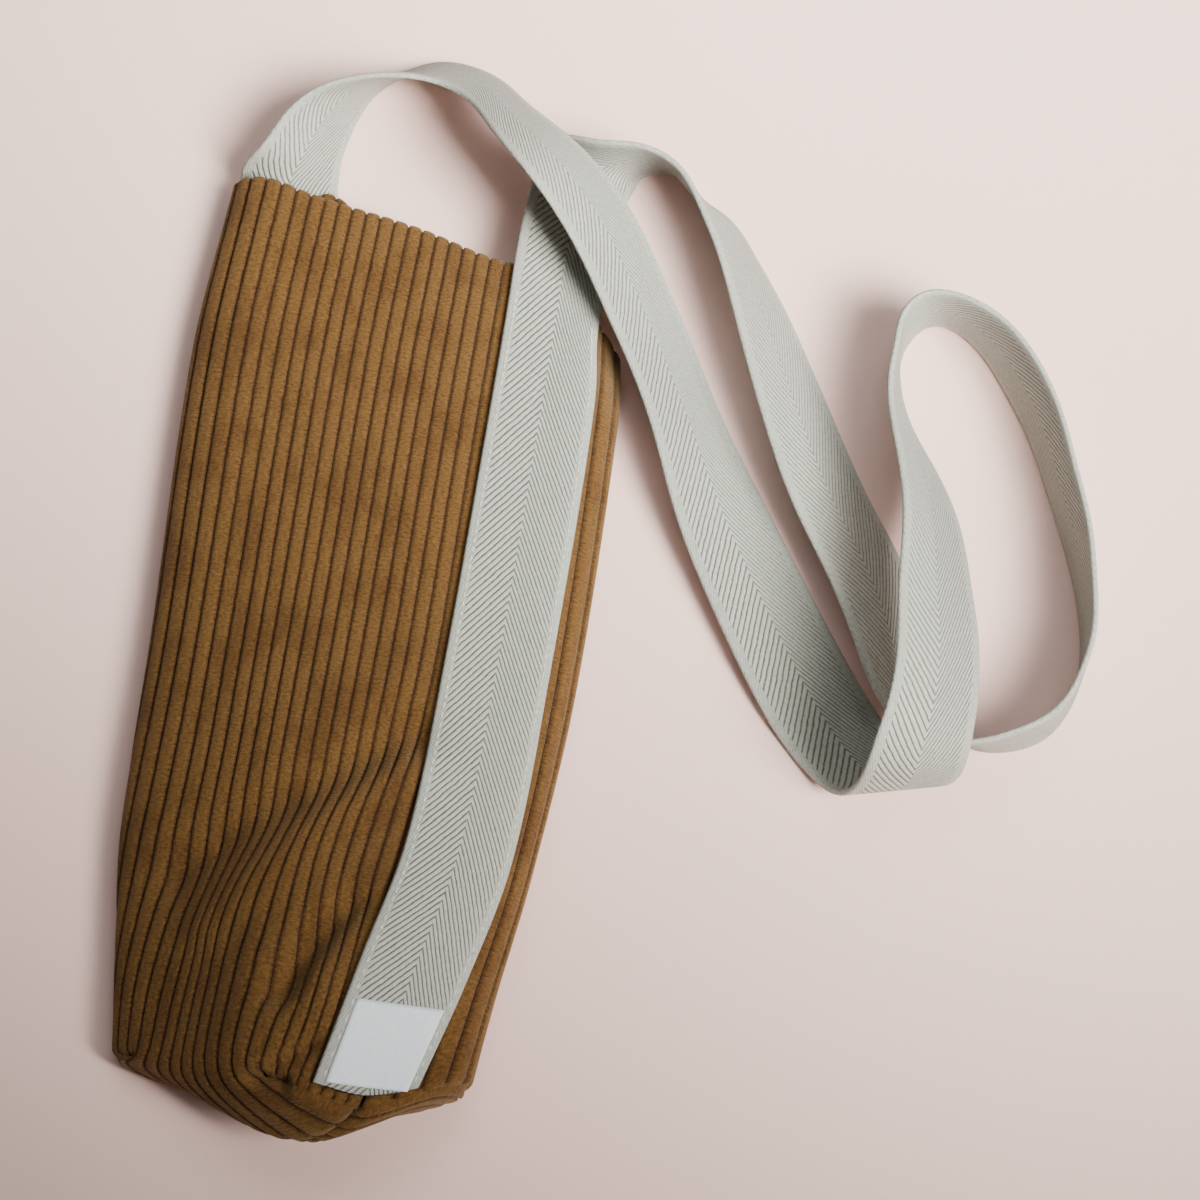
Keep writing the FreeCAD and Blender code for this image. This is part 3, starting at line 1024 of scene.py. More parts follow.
@dataclass(frozen=True)
class WebbingFinish:
    """Undyed cotton webbing in one wide herringbone.

    Attributes:
        rib: Colour of the bars, from rib_ends of their height.
        valley: Colour between the bars.
        fleck: Colour of the seed flecks.
        fleck_share: Strength of the flecks.
        wear: How far the grain breaks up the bounds of the bars.
        grain_light: Gain and offset of the grain's light and shade.
        grain_height: Height of the grain on the bars.
        bump: Strength and depth of the bars.
        gloss: How the cloth takes the light.
    """

    rib: Colour = Colour(171, 173, 164)
    valley: Colour = Colour(112, 106, 95)
    fleck: Colour = Colour(120, 104, 84)
    fleck_share: float = 0.45
    rib_ends: tuple[float, float] = (0.40, 1.0)
    wear: float = 0.5
    grain_light: tuple[float, float] = (0.24, 0.88)
    grain_height: float = 0.35
    bump: tuple[float, float] = (0.8, 0.0007)
    gloss: Gloss = Gloss(0.88, 0.2, 0.12)

    def make(self, patterns: Patterns) -> bpy.types.Material:
        """Build the material.

        Args:
            patterns: Shared node groups.

        Returns:
            Material.
        """
        material, shader, cloth = principled("cotton_webbing")
        weave = shader.group(patterns.chevron, shader.add("ShaderNodeUVMap").outputs[0])
        fine = shader.group(patterns.fibre, shader.add("ShaderNodeTexCoord").outputs["Object"])
        rib, fleck = weave.outputs
        grain = fine.outputs["Grain"]
        worn = shader.sway(rib, grain, self.wear)
        base = shader.mix(shader.ramp(worn, *self.rib_ends), self.valley, self.rib)
        base = shader.mix(shader.math("MULTIPLY", fleck, self.fleck_share), base, self.fleck)
        base = shader.shade(base, shader.math("MULTIPLY_ADD", grain, *self.grain_light))
        shader.feed(cloth.inputs["Base Color"], base)
        height = shader.math("MULTIPLY_ADD", grain, self.grain_height, rib)
        shader.feed(cloth.inputs["Normal"], shader.bump(height, *self.bump))
        self.gloss.apply(cloth)
        return material


@dataclass(frozen=True)
class PlainFinish:
    """Plain woven cloth or thread of one shade.

    Attributes:
        name: Name of the material.
        light: Colour of the raised threads, over shade_ends of their height.
        dark: Colour between them.
        shares: Shares of the weave and of the grain in that height.
        bump: Strength and depth of the threads.
        gloss: How the cloth takes the light.
    """

    name: str
    light: Colour
    dark: Colour
    shares: tuple[float, float] = (0.4, 0.6)
    shade_ends: tuple[float, float] = (0.2, 0.75)
    bump: tuple[float, float] = (0.4, 0.0002)
    gloss: Gloss = Gloss(0.8, 0.3, 0.1)

    def make(self, patterns: Patterns) -> bpy.types.Material:
        """Build the material.

        Args:
            patterns: Shared node groups.

        Returns:
            Material.
        """
        material, shader, cloth = principled(self.name)
        fine = shader.group(patterns.fibre, shader.add("ShaderNodeTexCoord").outputs["Object"])
        weave, grain = fine.outputs
        fuzz = shader.math("MULTIPLY", grain, self.shares[1])
        mixed = shader.math("MULTIPLY_ADD", weave, self.shares[0], fuzz)
        base = shader.mix(shader.ramp(mixed, *self.shade_ends), self.dark, self.light)
        shader.feed(cloth.inputs["Base Color"], base)
        shader.feed(cloth.inputs["Normal"], shader.bump(mixed, *self.bump))
        self.gloss.apply(cloth)
        return material


# Pieces


def rib_profile(wale: Points, power: float) -> Points:
    """Height of the pile over a wale's width.

    Args:
        wale: Wale coordinates.
        power: How flat the crown is and how steep the flanks are.

    Returns:
        Height from 0 in the groove to 1 on the crown.
    """
    side = np.abs(2.0 * np.mod(wale, 1.0) - 1.0)
    return np.sqrt(np.maximum(1.0 - side**power, 0.0))


@dataclass
class CorduroyPanel:
    """One corduroy panel from its rolled rim to the bottom seam, with every wale as form.

    Attributes:
        side: Front or back.
        first: Share of the way round the bag at which the panel starts.
        wales: Wales on the panel.
        per_wale: Columns of faces on each wale.
        rows: Rows of points, which crowd towards the base by row_power.
        base_rows: Rows of points on the base, which crowd towards its edge by base_power.
        pitch: Width of a wale.
        pile: Height of a wale, with crown_power for its crown.
        ply: Thickness under the pile.
        roll: Radius of the rolled rim, in roll_steps.
        hem: Depth of the hem behind the rim, in hem_rows from hem_top down.
        prow: How far the bottom seam swells out at most.
        prow_share: Factor that brings the swell's peak to one.
        seam_gap: Gap at each side seam of a panel as wide as width.
        boxed: Shares of the panel outside each boxing seam.
        edge_bend: Reach and passes of the soft bend over the base edge.
        edge_columns: Columns beside each boxing seam over which that bend fades in.
        corner_reach: Reach of the mean direction at the corners of the base.
        corner_inset: Rows and columns inside the corner from which it is taken.
        pucker: Depth and reach of the pinch beside the right boxing seam, if any.
        pucker_rows: Rows of the wall that the pinch reaches.
        corner_tuck: Depth and reach of the turned cloth at the wall's corners.
        corner_columns: Columns over which that turn fades.
        seam_tuck: Depth and reach of the turned cloth along the base's seams.
        lip: How far the rim rises beside the right seam.
        lip_place: Share of the panel at which it rises, and its reach.
        lip_start: Station above which it rises.
        floor_clear: Least height over the floor.
    """

    side: str
    first: float
    wales: int = 29
    per_wale: int = 9
    rows: int = 140
    row_power: float = 1.25
    base_rows: int = 22
    base_power: float = 1.3
    pitch: float = 4.5
    pile: float = 1.0
    crown_power: float = 3.2
    ply: float = 0.9
    roll: float = 1.5
    roll_steps: int = 8
    hem: float = 14.0
    hem_top: float = 2.0
    hem_rows: int = 5
    prow: float = 12.0
    prow_share: float = 6.75
    seam_gap: float = 0.2
    width: float = 120.0
    boxed: tuple[float, float] = (0.25, 0.25)
    edge_bend: tuple[float, int] = (9.0, 60)
    edge_columns: float = 14.0
    corner_reach: float = 6.0
    corner_inset: int = 9
    pucker: tuple[float, float] | None = None
    pucker_rows: int = 30
    corner_tuck: tuple[float, float] = (2.2, 1.7)
    corner_columns: float = 4.0
    seam_tuck: tuple[float, float] = (2.0, 1.6)
    lip: float = 0.0
    lip_place: tuple[float, float] = (0.06, 0.065)
    lip_start: float = 0.9
    floor_clear: float = 0.05

    @property
    def name(self) -> str:
        """Name of the finished piece."""
        return f"corduroy_{self.side}"

    def wall(self, skin: BagSkin, column: Points, station: Points) -> Points:
        """Cloth on the bag's form, with its folds.

        Args:
            skin: Form of the bag.
            column: Share of the panel for each column.
            station: Station of each row.

        Returns:
            Places (rows, columns, 3).
        """
        share = np.broadcast_to(column, (len(station), len(column)))
        if self.first == 0.0 and skin.pull:
            share = skin.pull.at(column, station)
        gap = self.seam_gap / self.width
        share = self.first + gap + (1.0 - 2.0 * gap) * np.clip(share, 0.0, 1.0)
        places = skin.by_share(share, station)
        if self.first == 0.0:
            places = places + grid_normals(places) * skin.relief(places)[..., None]
        centre, reach = self.lip_place
        near = fade(column[None] - centre, reach)
        up = (station[:, None] - self.lip_start) / (1.0 - self.lip_start)
        places[..., 1] += self.lip * near * np.clip(up, 0.0, 1.0)
        return places

    def base(self, ring: Points, column: Points, start: int, stop: int) -> Points:
        """Half of the base, between the boxing seams and the bottom seam.

        Args:
            ring: Lowest row of the wall.
            column: Share of the panel for each column, falling.
            start: First column of the base.
            stop: Last column of the base.

        Returns:
            Places from the bottom seam to the ring.
        """
        rising = column[::-1]

        def edge(share: Points) -> Points:
            """Places of the ring at shares of the panel."""
            return np.stack([np.interp(share, rising, ring[::-1, i]) for i in range(3)], axis=-1)

        high, low = column[start], column[stop]
        across = ((column[start : stop + 1] - low) / (high - low))[None, :, None]
        down = (np.linspace(1.0, 0.0, self.base_rows) ** self.base_power)[:, None, None]
        top = ring[start : stop + 1][None]
        flat = across[0]
        seam = edge(np.array([0.0])) * (1 - flat) + edge(np.array([1.0])) * flat
        lean = flat if self.first == 0.0 else 1 - flat
        seam = seam - np.array((0.0, self.prow, 0.0)) * (self.prow_share * lean * (1 - lean) ** 2)
        near = edge(low * (1.0 - down[:, 0, 0]))[:, None]
        far = edge(high + (1.0 - high) * down[:, 0, 0])[:, None]
        blended = (1 - down) * top + down * seam[None] + (1 - across) * near + across * far
        corners = (
            (1 - across) * ((1 - down) * top[:, -1:] + down * seam[None, -1:])
            + across * ((1 - down) * top[:, :1] + down * seam[None, :1])
        )
        return blended - corners

    def build(self, skin: BagSkin) -> bpy.types.Object:
        """Build the panel.

        Args:
            skin: Form of the bag.

        Returns:
            The panel's object.
        """
        column = np.linspace(1.0, 0.0, self.wales * self.per_wale + 1)
        station = np.linspace(0.0, 1.0, self.rows) ** self.row_power
        wall = self.wall(skin, column, station)
        ring = column
        if self.first == 0.0 and skin.pull:
            ring = skin.pull.at(column, station[:1])[0]
        start = int(np.argmin(np.abs(ring - 1.0 + self.boxed[1])))
        stop = int(np.argmin(np.abs(ring - self.boxed[0])))
        inner = slice(start, stop + 1)
        base = self.base(wall[0], ring, start, stop)
        part = self.bend_edge(np.concatenate([base[:-1], wall[:, inner]]))
        base = part[: self.base_rows].copy()
        wall[:, inner] = part[self.base_rows - 1 :]
        normal = grid_normals(wall)
        base_normal = grid_normals(part)[: self.base_rows].copy()
        self.ease_corners(wall, normal, base, base_normal, start, stop)
        self.tuck(wall, normal, base, base_normal, start, stop)

        grid, facing, along = self.roll_rim(skin, wall, normal, column, station * skin.length)
        wale = np.broadcast_to(column * self.wales, grid.shape[:2])
        sink = (self.pile * (1.0 - rib_profile(wale, self.crown_power)))[..., None]
        shaped = grid - facing * sink
        low = base - base_normal * sink[:1, inner]
        low[-1] = shaped[0, inner]
        for places in (shaped, low):
            places[..., 2] = np.maximum(places[..., 2], self.floor_clear)
        depth = -lengths_along(base[::-1, base.shape[1] // 2])[::-1]
        cloth = ClothMesh(self.name)
        cloth.add_grid(shaped, self.pattern(wale, along))
        cloth.add_grid(low, self.pattern(wale[: len(low), inner], depth))
        obj = cloth.finish()
        thicken(obj, self.ply)
        return obj

    def pattern(self, wale: Points, along: Points) -> Points:
        """Pattern coordinates in wale widths.

        Args:
            wale: Wale coordinate of each point.
            along: Length of each row in millimetres.

        Returns:
            Coordinates (rows, columns, 2).
        """
        return np.stack([wale, np.broadcast_to(along[:, None], wale.shape) / self.pitch], axis=-1)

    def bend_edge(self, part: Points) -> Points:
        """Run the cloth over the base edge in a soft bend.

        Args:
            part: Base and wall between the boxing seams.

        Returns:
            The same places, softened.
        """
        reach, passes = self.edge_bend
        apart = np.linalg.norm(part - part[self.base_rows - 1], axis=-1)
        count = np.arange(part.shape[1])
        fade_in = np.clip(np.minimum(count, count[::-1]) / self.edge_columns, 0.0, 1.0)
        weight = fade(apart, reach) * fade_in
        for _ in range(passes):
            smooth = part.copy()
            smooth[1:-1] = (part[:-2] + part[2:]) / 2
            part = part + (smooth - part) * weight[..., None] * 0.5
        return part

    def ease_corners(
        self, wall: Points, normal: Points, base: Points, base_normal: Points, start: int, stop: int
    ) -> None:
        """Turn the directions at the base's corners to the mean of wall and base.

        Args:
            wall: Places of the wall.
            normal: Outward directions of the wall, changed in place.
            base: Places of the base.
            base_normal: Outward directions of the base, changed in place.
            start: First column of the base.
            stop: Last column of the base.
        """
        inset = self.corner_inset
        for corner, inner in ((start, inset), (stop, -inset - 1)):
            mean = unit(normal[inset - 1, corner] + base_normal[-inset - 1, inner])
            for places, facing in ((wall, normal), (base, base_normal)):
                near = fade(np.linalg.norm(places - wall[0, corner], axis=-1), self.corner_reach)
                facing += (mean - facing) * near[..., None]

    def tuck(
        self, wall: Points, normal: Points, base: Points, base_normal: Points, start: int, stop: int
    ) -> None:
        """Turn the cloth in along the boxing seams and the bottom seam.

        Args:
            wall: Places of the wall, changed in place.
            normal: Outward directions of the wall.
            base: Places of the base, changed in place.
            base_normal: Outward directions of the base.
            start: First column of the base.
            stop: Last column of the base.
        """
        count = np.arange(wall.shape[1])
        if self.pucker:
            depth, reach = self.pucker
            seam = wall[0, stop : stop + 2 * self.per_wale : 3].copy()
            out = unit(normal[0, stop] + base_normal[-1, -1])
            for places in (wall[: self.pucker_rows], base):
                gap = np.min([np.linalg.norm(places - spot, axis=-1) for spot in seam], axis=0)
                places -= out * (depth * fade(gap, reach))[..., None]
        depth, reach = self.corner_tuck
        rows = np.linalg.norm(wall - wall[:1], axis=-1)
        inside = np.maximum(np.minimum(count - start, stop - count), 0)
        wall -= normal * (depth * fade(rows, reach) * fade(inside, self.corner_columns))[..., None]
        depth, reach = self.seam_tuck
        for line in (base[:, :1], base[:, -1:], base[:1]):
            gap = np.linalg.norm(base - line, axis=-1)
            base -= base_normal * (depth * fade(gap, reach))[..., None]

    def roll_rim(
        self, skin: BagSkin, wall: Points, normal: Points, column: Points, length: Points
    ) -> tuple[Points, Points, Points]:
        """Roll the rim inside and run the hem down behind the wall.

        Args:
            skin: Form of the bag.
            wall: Places of the wall.
            normal: Outward directions of the wall.
            column: Share of the panel for each column.
            length: Length of each row from the base.

        Returns:
            Places, outward directions and lengths of all rows.
        """
        run = unit(wall[-1] - wall[-3])
        grid, facing, along = [wall], [normal], [length]
        for turn in np.linspace(0.0, math.pi, self.roll_steps + 1)[1:]:
            out, away = math.sin(turn), 1.0 - math.cos(turn)
            grid.append((wall[-1] + run * self.roll * out - normal[-1] * self.roll * away)[None])
            facing.append((normal[-1] * math.cos(turn) + run * out)[None])
            along.append(np.array([length[-1] + self.roll * turn]))
        depth = np.linspace(self.hem_top, self.hem, self.hem_rows)
        inside = self.wall(skin, column, 1.0 - depth / skin.length)
        turned = grid_normals(inside[::-1])[::-1]
        grid.append(inside - turned * 2.0 * self.roll)
        facing.append(-turned)
        along.append(along[-1][-1] + depth)
        return np.concatenate(grid), np.concatenate(facing), np.concatenate(along)


@dataclass
class LiningPanel:
    """Plain cotton lining behind one corduroy panel.

    Attributes:
        side: Front or back.
        first: Share of the way round the bag at which the panel starts.
        depth: Depth under the corduroy's surface.
        ply: Thickness.
        width: Width of the cut cloth.
        low: Station of the lower edge.
        high: Station of the upper edge.
        margin: Share that is left free beside each side seam.
        columns: Columns of points.
        rows: Rows of points.
    """

    side: str
    first: float
    depth: float = 3.2
    ply: float = 0.6
    width: float = 122.0
    low: float = 0.03
    high: float = 0.985
    margin: float = 0.015
    columns: int = 61
    rows: int = 90

    def build(self, skin: BagSkin) -> bpy.types.Object:
        """Build the lining.

        Args:
            skin: Form of the bag.

        Returns:
            The lining's object.
        """
        column = np.linspace(1.0 - self.margin, self.margin, self.columns)
        station = np.linspace(self.low, self.high, self.rows)
        share = np.broadcast_to(self.first + column, (len(station), len(column)))
        places = skin.by_share(share, station)
        normal = grid_normals(places)
        if self.first == 0.0:
            places = places + normal * skin.relief(places)[..., None]
        uv = np.stack(np.meshgrid(column * self.width, station * skin.length), axis=-1)
        cloth = ClothMesh(f"lining_{self.side}")
        cloth.add_grid(places - normal * self.depth, uv)
        obj = cloth.finish()
        thicken(obj, self.ply)
        return obj


@dataclass
class WebbingStrap:
    """One webbing strap, sewn up both sides of the bag with its free loops between.

    Attributes:
        width: Width of the webbing.
        ply: Thickness.
        seat: Gap to the corduroy's surface.
        clear: Height over the floor.
        end_inset: Length left free below the right run.
        left_inset: Length left free below the left run.
        left_top: Station at which the left run starts.
        sewn_rows: Rows of points on each sewn run.
        per_span: Rows of points between two points of the route.
        columns: Columns of points on the flat of the webbing.
        edge_shares: Shares of the rounded edge's points.
        edge_rise: Share of the thickness at the rounded edge.
        ease_rows: Rows eased before and after the right run's end.
        ease_passes: Passes of that ease.
    """

    width: float = 30.0
    ply: float = 1.7
    seat: float = 0.6
    clear: float = 0.15
    end_inset: float = 2.0
    left_inset: float = 10.0
    left_top: float = 0.985
    sewn_rows: int = 90
    per_span: int = 14
    columns: int = 11
    edge_shares: tuple[float, float] = (0.012, 0.03)
    edge_rise: float = 0.75
    ease_rows: tuple[int, int] = (8, 14)
    ease_passes: int = 24

    def __post_init__(self) -> None:
        """Lay out the points across the webbing."""
        edge, flat = self.edge_shares
        inner = np.linspace(flat, 1.0 - flat, self.columns)
        self.across = np.concatenate([[0.0, edge], inner, [1.0 - edge, 1.0]])

    def sewn_right(self, skin: BagSkin) -> Points:
        """Run up the right side seam.

        Args:
            skin: Form of the bag.

        Returns:
            Places (rows, columns, 3).
        """
        station = np.linspace(self.end_inset / skin.length, 1.0, self.sewn_rows)
        places = skin.by_length((self.across - 0.5) * self.width, station)
        normal = -grid_normals(places)
        places = places + normal * skin.relief(places)[..., None]
        return places + normal * (self.seat + self.ply / 2)

    def free_run(self) -> tuple[Points, Points]:
        """Loops between the two sewn runs, from the right side to the left.

        Returns:
            Lower and upper edge points.
        """
        rows = np.array(ROUTE, float)[::-1]
        bearing, rise = np.radians(rows[:, 3]), np.radians(rows[:, 4])
        aim = np.stack(
            [np.cos(rise) * np.cos(bearing), np.cos(rise) * np.sin(bearing), np.sin(rise)], axis=-1
        )
        low = rows[:, :3].copy()
        spare = self.clear + self.ply / 10
        low[:, 2] += self.ply / 2 * np.abs(np.cos(rise)) + spare
        high = low + aim * self.width
        marks = lengths_along((low + high) / 2)
        at = np.interp(
            np.arange(self.per_span * (len(rows) - 1) + 1) / self.per_span,
            np.arange(len(rows)), marks,
        )
        return spline(low, marks, at), spline(high, marks, at)

    def sewn_left(self, skin: BagSkin) -> tuple[Points, Points]:
        """Run down the left side seam, under the bag.

        Args:
            skin: Form of the bag.

        Returns:
            Right and left edge points from the rim to the base.
        """
        station = np.linspace(self.left_top, self.left_inset / skin.length, self.sewn_rows)
        centre = skin.by_share(np.ones((len(station), 1)), station)[:, 0]
        centre[:, 2] = self.ply / 2 + self.clear
        half = np.array((self.width / 2, 0.0, 0.0))
        return centre + half, centre - half

    def build(self, skin: BagSkin) -> bpy.types.Object:
        """Build the strap.

        Args:
            skin: Form of the bag.

        Returns:
            The strap's object.
        """
        sewn = self.sewn_right(skin)
        low, high = (np.concatenate(pair) for pair in zip(self.free_run(), self.sewn_left(skin)))
        half = unit(high - low) * (self.width / 2)
        share = (2.0 * self.across - 1.0)[None, :, None]
        places = np.concatenate([sewn, ((low + high) / 2)[:, None] + half[:, None] * share])
        first, stop = len(sewn) - self.ease_rows[0], len(sewn) + self.ease_rows[1]
        for _ in range(self.ease_passes):
            mean = (places[first - 1 : stop - 1] + places[first + 1 : stop + 1]) / 2
            places[first:stop] += (mean - places[first:stop]) * 0.5
        normal = unit(np.cross(np.gradient(places, axis=0), np.gradient(places, axis=1)))

        # Each row goes over the upper face and back along the lower one
        last = len(self.across) - 1
        loop = [*range(last + 1), *range(last - 1, 0, -1), 0]
        top = np.ones(last + 1)
        top[[0, last]] = 0.0
        top[[1, last - 1]] = self.edge_rise
        rise = np.concatenate([top, -top[1:-1][::-1], [0.0]]) * self.ply / 2
        grid = places[:, loop] + normal[:, loop] * rise[None, :, None]
        along = lengths_along(places[:, last // 2])
        mark = np.broadcast_to(self.across[loop], grid.shape[:2])
        uv = np.stack([mark, np.broadcast_to(along[:, None], mark.shape)], axis=-1)
        cloth = ClothMesh("webbing_strap")
        cloth.add_grid(grid[:, ::-1], uv[:, ::-1])
        self.length = float(along[-1])
        bmesh.ops.remove_doubles(cloth.bm, verts=cloth.bm.verts, dist=WELD)
        ends = [edge for edge in cloth.bm.edges if edge.is_boundary]
        bmesh.ops.holes_fill(cloth.bm, edges=ends, sides=0)
        log.info("webbing: %.0f mm long", self.length)
        return cloth.finish()


@dataclass
class BareLabel:
    """Plain woven label sewn on the right strap near its lower end.

    Attributes:
        size: Side of the square.
        inset: Distance of its centre from the strap's end.
        end_inset: Length left free below the strap.
        lift: Height over the corduroy's surface.
        ply: Thickness.
        points: Points along each side.
        chord: Half of the length over which the strap's direction is taken.
        search: Stations on the strap that are searched, and the highest of them.
    """

    size: float = 24.0
    inset: float = 14.0
    end_inset: float = 2.0
    lift: float = 2.35
    ply: float = 0.35
    points: int = 21
    chord: float = 6.0
    search: tuple[int, float] = (300, 0.4)

    def build(self, skin: BagSkin) -> bpy.types.Object:
        """Build the label.

        Args:
            skin: Form of the bag.

        Returns:
            The label's object.
        """
        steps = np.linspace(-0.5, 0.5, self.points) * self.size
        count, top = self.search
        station = np.linspace(0.0, top, count)
        strips = skin.by_length(np.append(steps[::-1], 0.0), station)
        line = strips[:, -1]
        first = np.searchsorted(station, self.end_inset / skin.length)
        marks = lengths_along(line[first:])
        ends = (self.inset - self.chord, self.inset + self.chord)
        low, high = (int(first + np.searchsorted(marks, end)) for end in ends)
        middle = (low + high) // 2
        edge = unit(strips[middle, 0] - strips[middle, -2])
        run = line[high] - line[low]
        run = unit(run - edge * (run @ edge))
        centre = line[middle]
        places = np.empty((len(steps), len(steps), 3))
        for i in range(len(steps)):
            along = (strips[:, i] - centre) @ run
            for axis in range(3):
                places[:, i, axis] = np.interp(steps, along, strips[:, i, axis])
        normal = grid_normals(places)
        places = places + normal * (skin.relief(places)[..., None] + self.lift)
        uv = np.stack(np.meshgrid(steps, steps), axis=-1)
        cloth = ClothMesh("bare_label")
        cloth.add_grid(places, uv)
        obj = cloth.finish()
        thicken(obj, self.ply, 1.0)
        return obj


@dataclass
class StitchRows:
    """Rows of thread that hold the strap's right run along both edges.

    Attributes:
        inset: Distance of a row from the webbing's edge.
        pitch: Distance of the stitches.
        long: Length of a stitch.
        thick: Thickness of the thread.
        start: Distance of the first stitch from the base.
        spare: Length of the run that holds no stitch.
        side_step: Distance beside a row at which the webbing's slope is read.
        facets: Segments and rings of one stitch.
        weld: Distance in metres within which points of a stitch join.
    """

    inset: float = 2.2
    pitch: float = 3.0
    long: float = 2.1
    thick: float = 0.55
    start: float = 4.0
    spare: float = 12.0
    side_step: float = 0.5
    facets: tuple[int, int] = (6, 5)
    weld: float = 1e-8

    def build(self, skin: BagSkin, strap: WebbingStrap) -> bpy.types.Object:
        """Build the stitches.

        Args:
            skin: Form of the bag.
            strap: The strap that they hold.

        Returns:
            The stitches' object.
        """
        cloth = ClothMesh("strap_stitches")
        reach = strap.width / 2 - self.inset
        count = int((skin.length - self.spare) / self.pitch)
        station = (self.start + np.arange(count) * self.pitch) / skin.length
        for at in (-reach, reach):
            places = skin.by_length(np.array((at - self.side_step, at, at + self.side_step)), station)
            normal = -grid_normals(places)
            places = places + normal * (skin.relief(places) + strap.seat + strap.ply)[..., None]
            spots, up = places[:, 1], normal[:, 1]
            run = unit(np.gradient(spots, axis=0))
            for spot, aim, out in zip(spots, run, up):
                side = np.cross(aim, out)
                axes = Matrix((
                    (*(side * self.thick), 0.0), (*(aim * self.long), 0.0),
                    (*(out * self.thick), 0.0), (0.0, 0.0, 0.0, 1.0),
                )).transposed()
                axes = Matrix.Translation(Vector(spot * MM)) @ Matrix.Scale(MM / 2, 4) @ axes
                around, rings = self.facets
                bmesh.ops.create_uvsphere(
                    cloth.bm, u_segments=around, v_segments=rings, radius=1.0, matrix=axes
                )
        return cloth.finish(self.weld)


# Assembly and studio


@dataclass
class BottleBag:
    """The whole carrier: panels, linings, strap, stitches and label.

    Attributes:
        skin: Form of the bag.
        back_lip: How far the back rim shows behind the right run of the strap.
        front_boxed: Shares of the front panel outside its boxing seams.
        front_pucker: Depth and reach of the pinch beside the label.
    """

    skin: BagSkin
    back_lip: float = 6.8
    front_boxed: tuple[float, float] = (0.305, 0.25)
    front_pucker: tuple[float, float] = (6.0, 3.4)

    def build(self) -> list[bpy.types.Object]:
        """Build and dress every piece.

        Returns:
            The pieces.
        """
        patterns = Patterns()
        corduroy = CorduroyFinish().make(patterns)
        webbing = WebbingFinish().make(patterns)
        cotton = PlainFinish("lining_cotton", Colour(132, 92, 52), Colour(96, 62, 32)).make(patterns)
        tape = PlainFinish(
            "label_tape", Colour(228, 232, 238), Colour(208, 214, 222),
            bump=(0.4, 0.00006), gloss=Gloss(0.55, 0.3, 0.05),
        ).make(patterns)
        thread = PlainFinish("thread", Colour(222, 220, 208), Colour(190, 184, 170)).make(patterns)
        front = CorduroyPanel("front", 0.0, boxed=self.front_boxed, pucker=self.front_pucker)
        back = CorduroyPanel("back", 1.0, lip=self.back_lip)
        pieces = []
        for form in (front, back):
            panel = form.build(self.skin)
            self.dress(panel, corduroy, Slot.CORDUROY, f"corduroy_{form.side}_panel")
            lining = LiningPanel(form.side, form.first).build(self.skin)
            self.dress(lining, cotton, Slot.LINING, f"lining_{form.side}_panel")
            pieces += [panel, lining]
        strap = WebbingStrap()
        band = strap.build(self.skin)
        band.data.materials.append(webbing)
        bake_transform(band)
        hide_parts("strap_left", "strap_loop", "strap_right")
        strap.width * MM
        label = BareLabel().build(self.skin)
        self.dress(label, tape, Slot.LABEL, "label")
        rows = StitchRows().build(self.skin, strap)
        self.dress(rows, thread, Slot.WEBBING)
        return [*pieces, band, label, rows]

    @staticmethod
    def dress(
        obj: bpy.types.Object, material: bpy.types.Material, slot: Slot, node: str | None = None
    ) -> None:
        """Give a piece its material, body and place in the frame.

        Args:
            obj: The piece.
            material: Its material.
            slot: Slot of the record; not used.
            node: Name of the node that it stands for, if any.
        """
        obj.data.materials.append(material)
        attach(obj, Body.BAG.value)
        if node:
            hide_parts(node)


@dataclass(frozen=True)
class SoftLight:
    """Square area light.

    Attributes:
        name: Name of the light.
        place: Where it hangs, in metres.
        aim: Point that it faces.
        size: Side of the square.
        power: Power in watts.
        cone: Full angle that it spreads over, in degrees.
        colour: Linear colour.
    """

    name: str
    place: tuple[float, float, float]
    aim: tuple[float, float, float]
    size: float
    power: float
    cone: float
    colour: tuple[float, float, float]

    def hang(self) -> None:
        """Add the light to the scene."""
        data = bpy.data.lights.new(self.name, "AREA")
        data.size, data.energy, data.color = self.size, self.power, self.colour
        data.spread = math.radians(self.cone)
        lamp = bpy.data.objects.new(self.name, data)
        lamp.location = self.place
        toward = Vector(self.aim) - Vector(self.place)
        lamp.rotation_euler = toward.to_track_quat("-Z", "Y").to_euler()
        bpy.context.scene.collection.objects.link(lamp)


LIGHTS = (
    SoftLight("window", (0.62, -0.10, 0.74), (0.07, 0.34, 0.0), 0.58, 5.3, 44.0, (1.0, 0.985, 0.94)),
    SoftLight("sky", (0.10, 0.52, 1.40), (0.06, 0.38, 0.0), 1.0, 4.0, 130.0, (0.95, 1.0, 0.98)),
    SoftLight("room", (0.6, -1.2, 0.8), (0.05, 0.10, 0.0), 1.4, 0.7, 180.0, (1.0, 0.93, 0.86)),
)


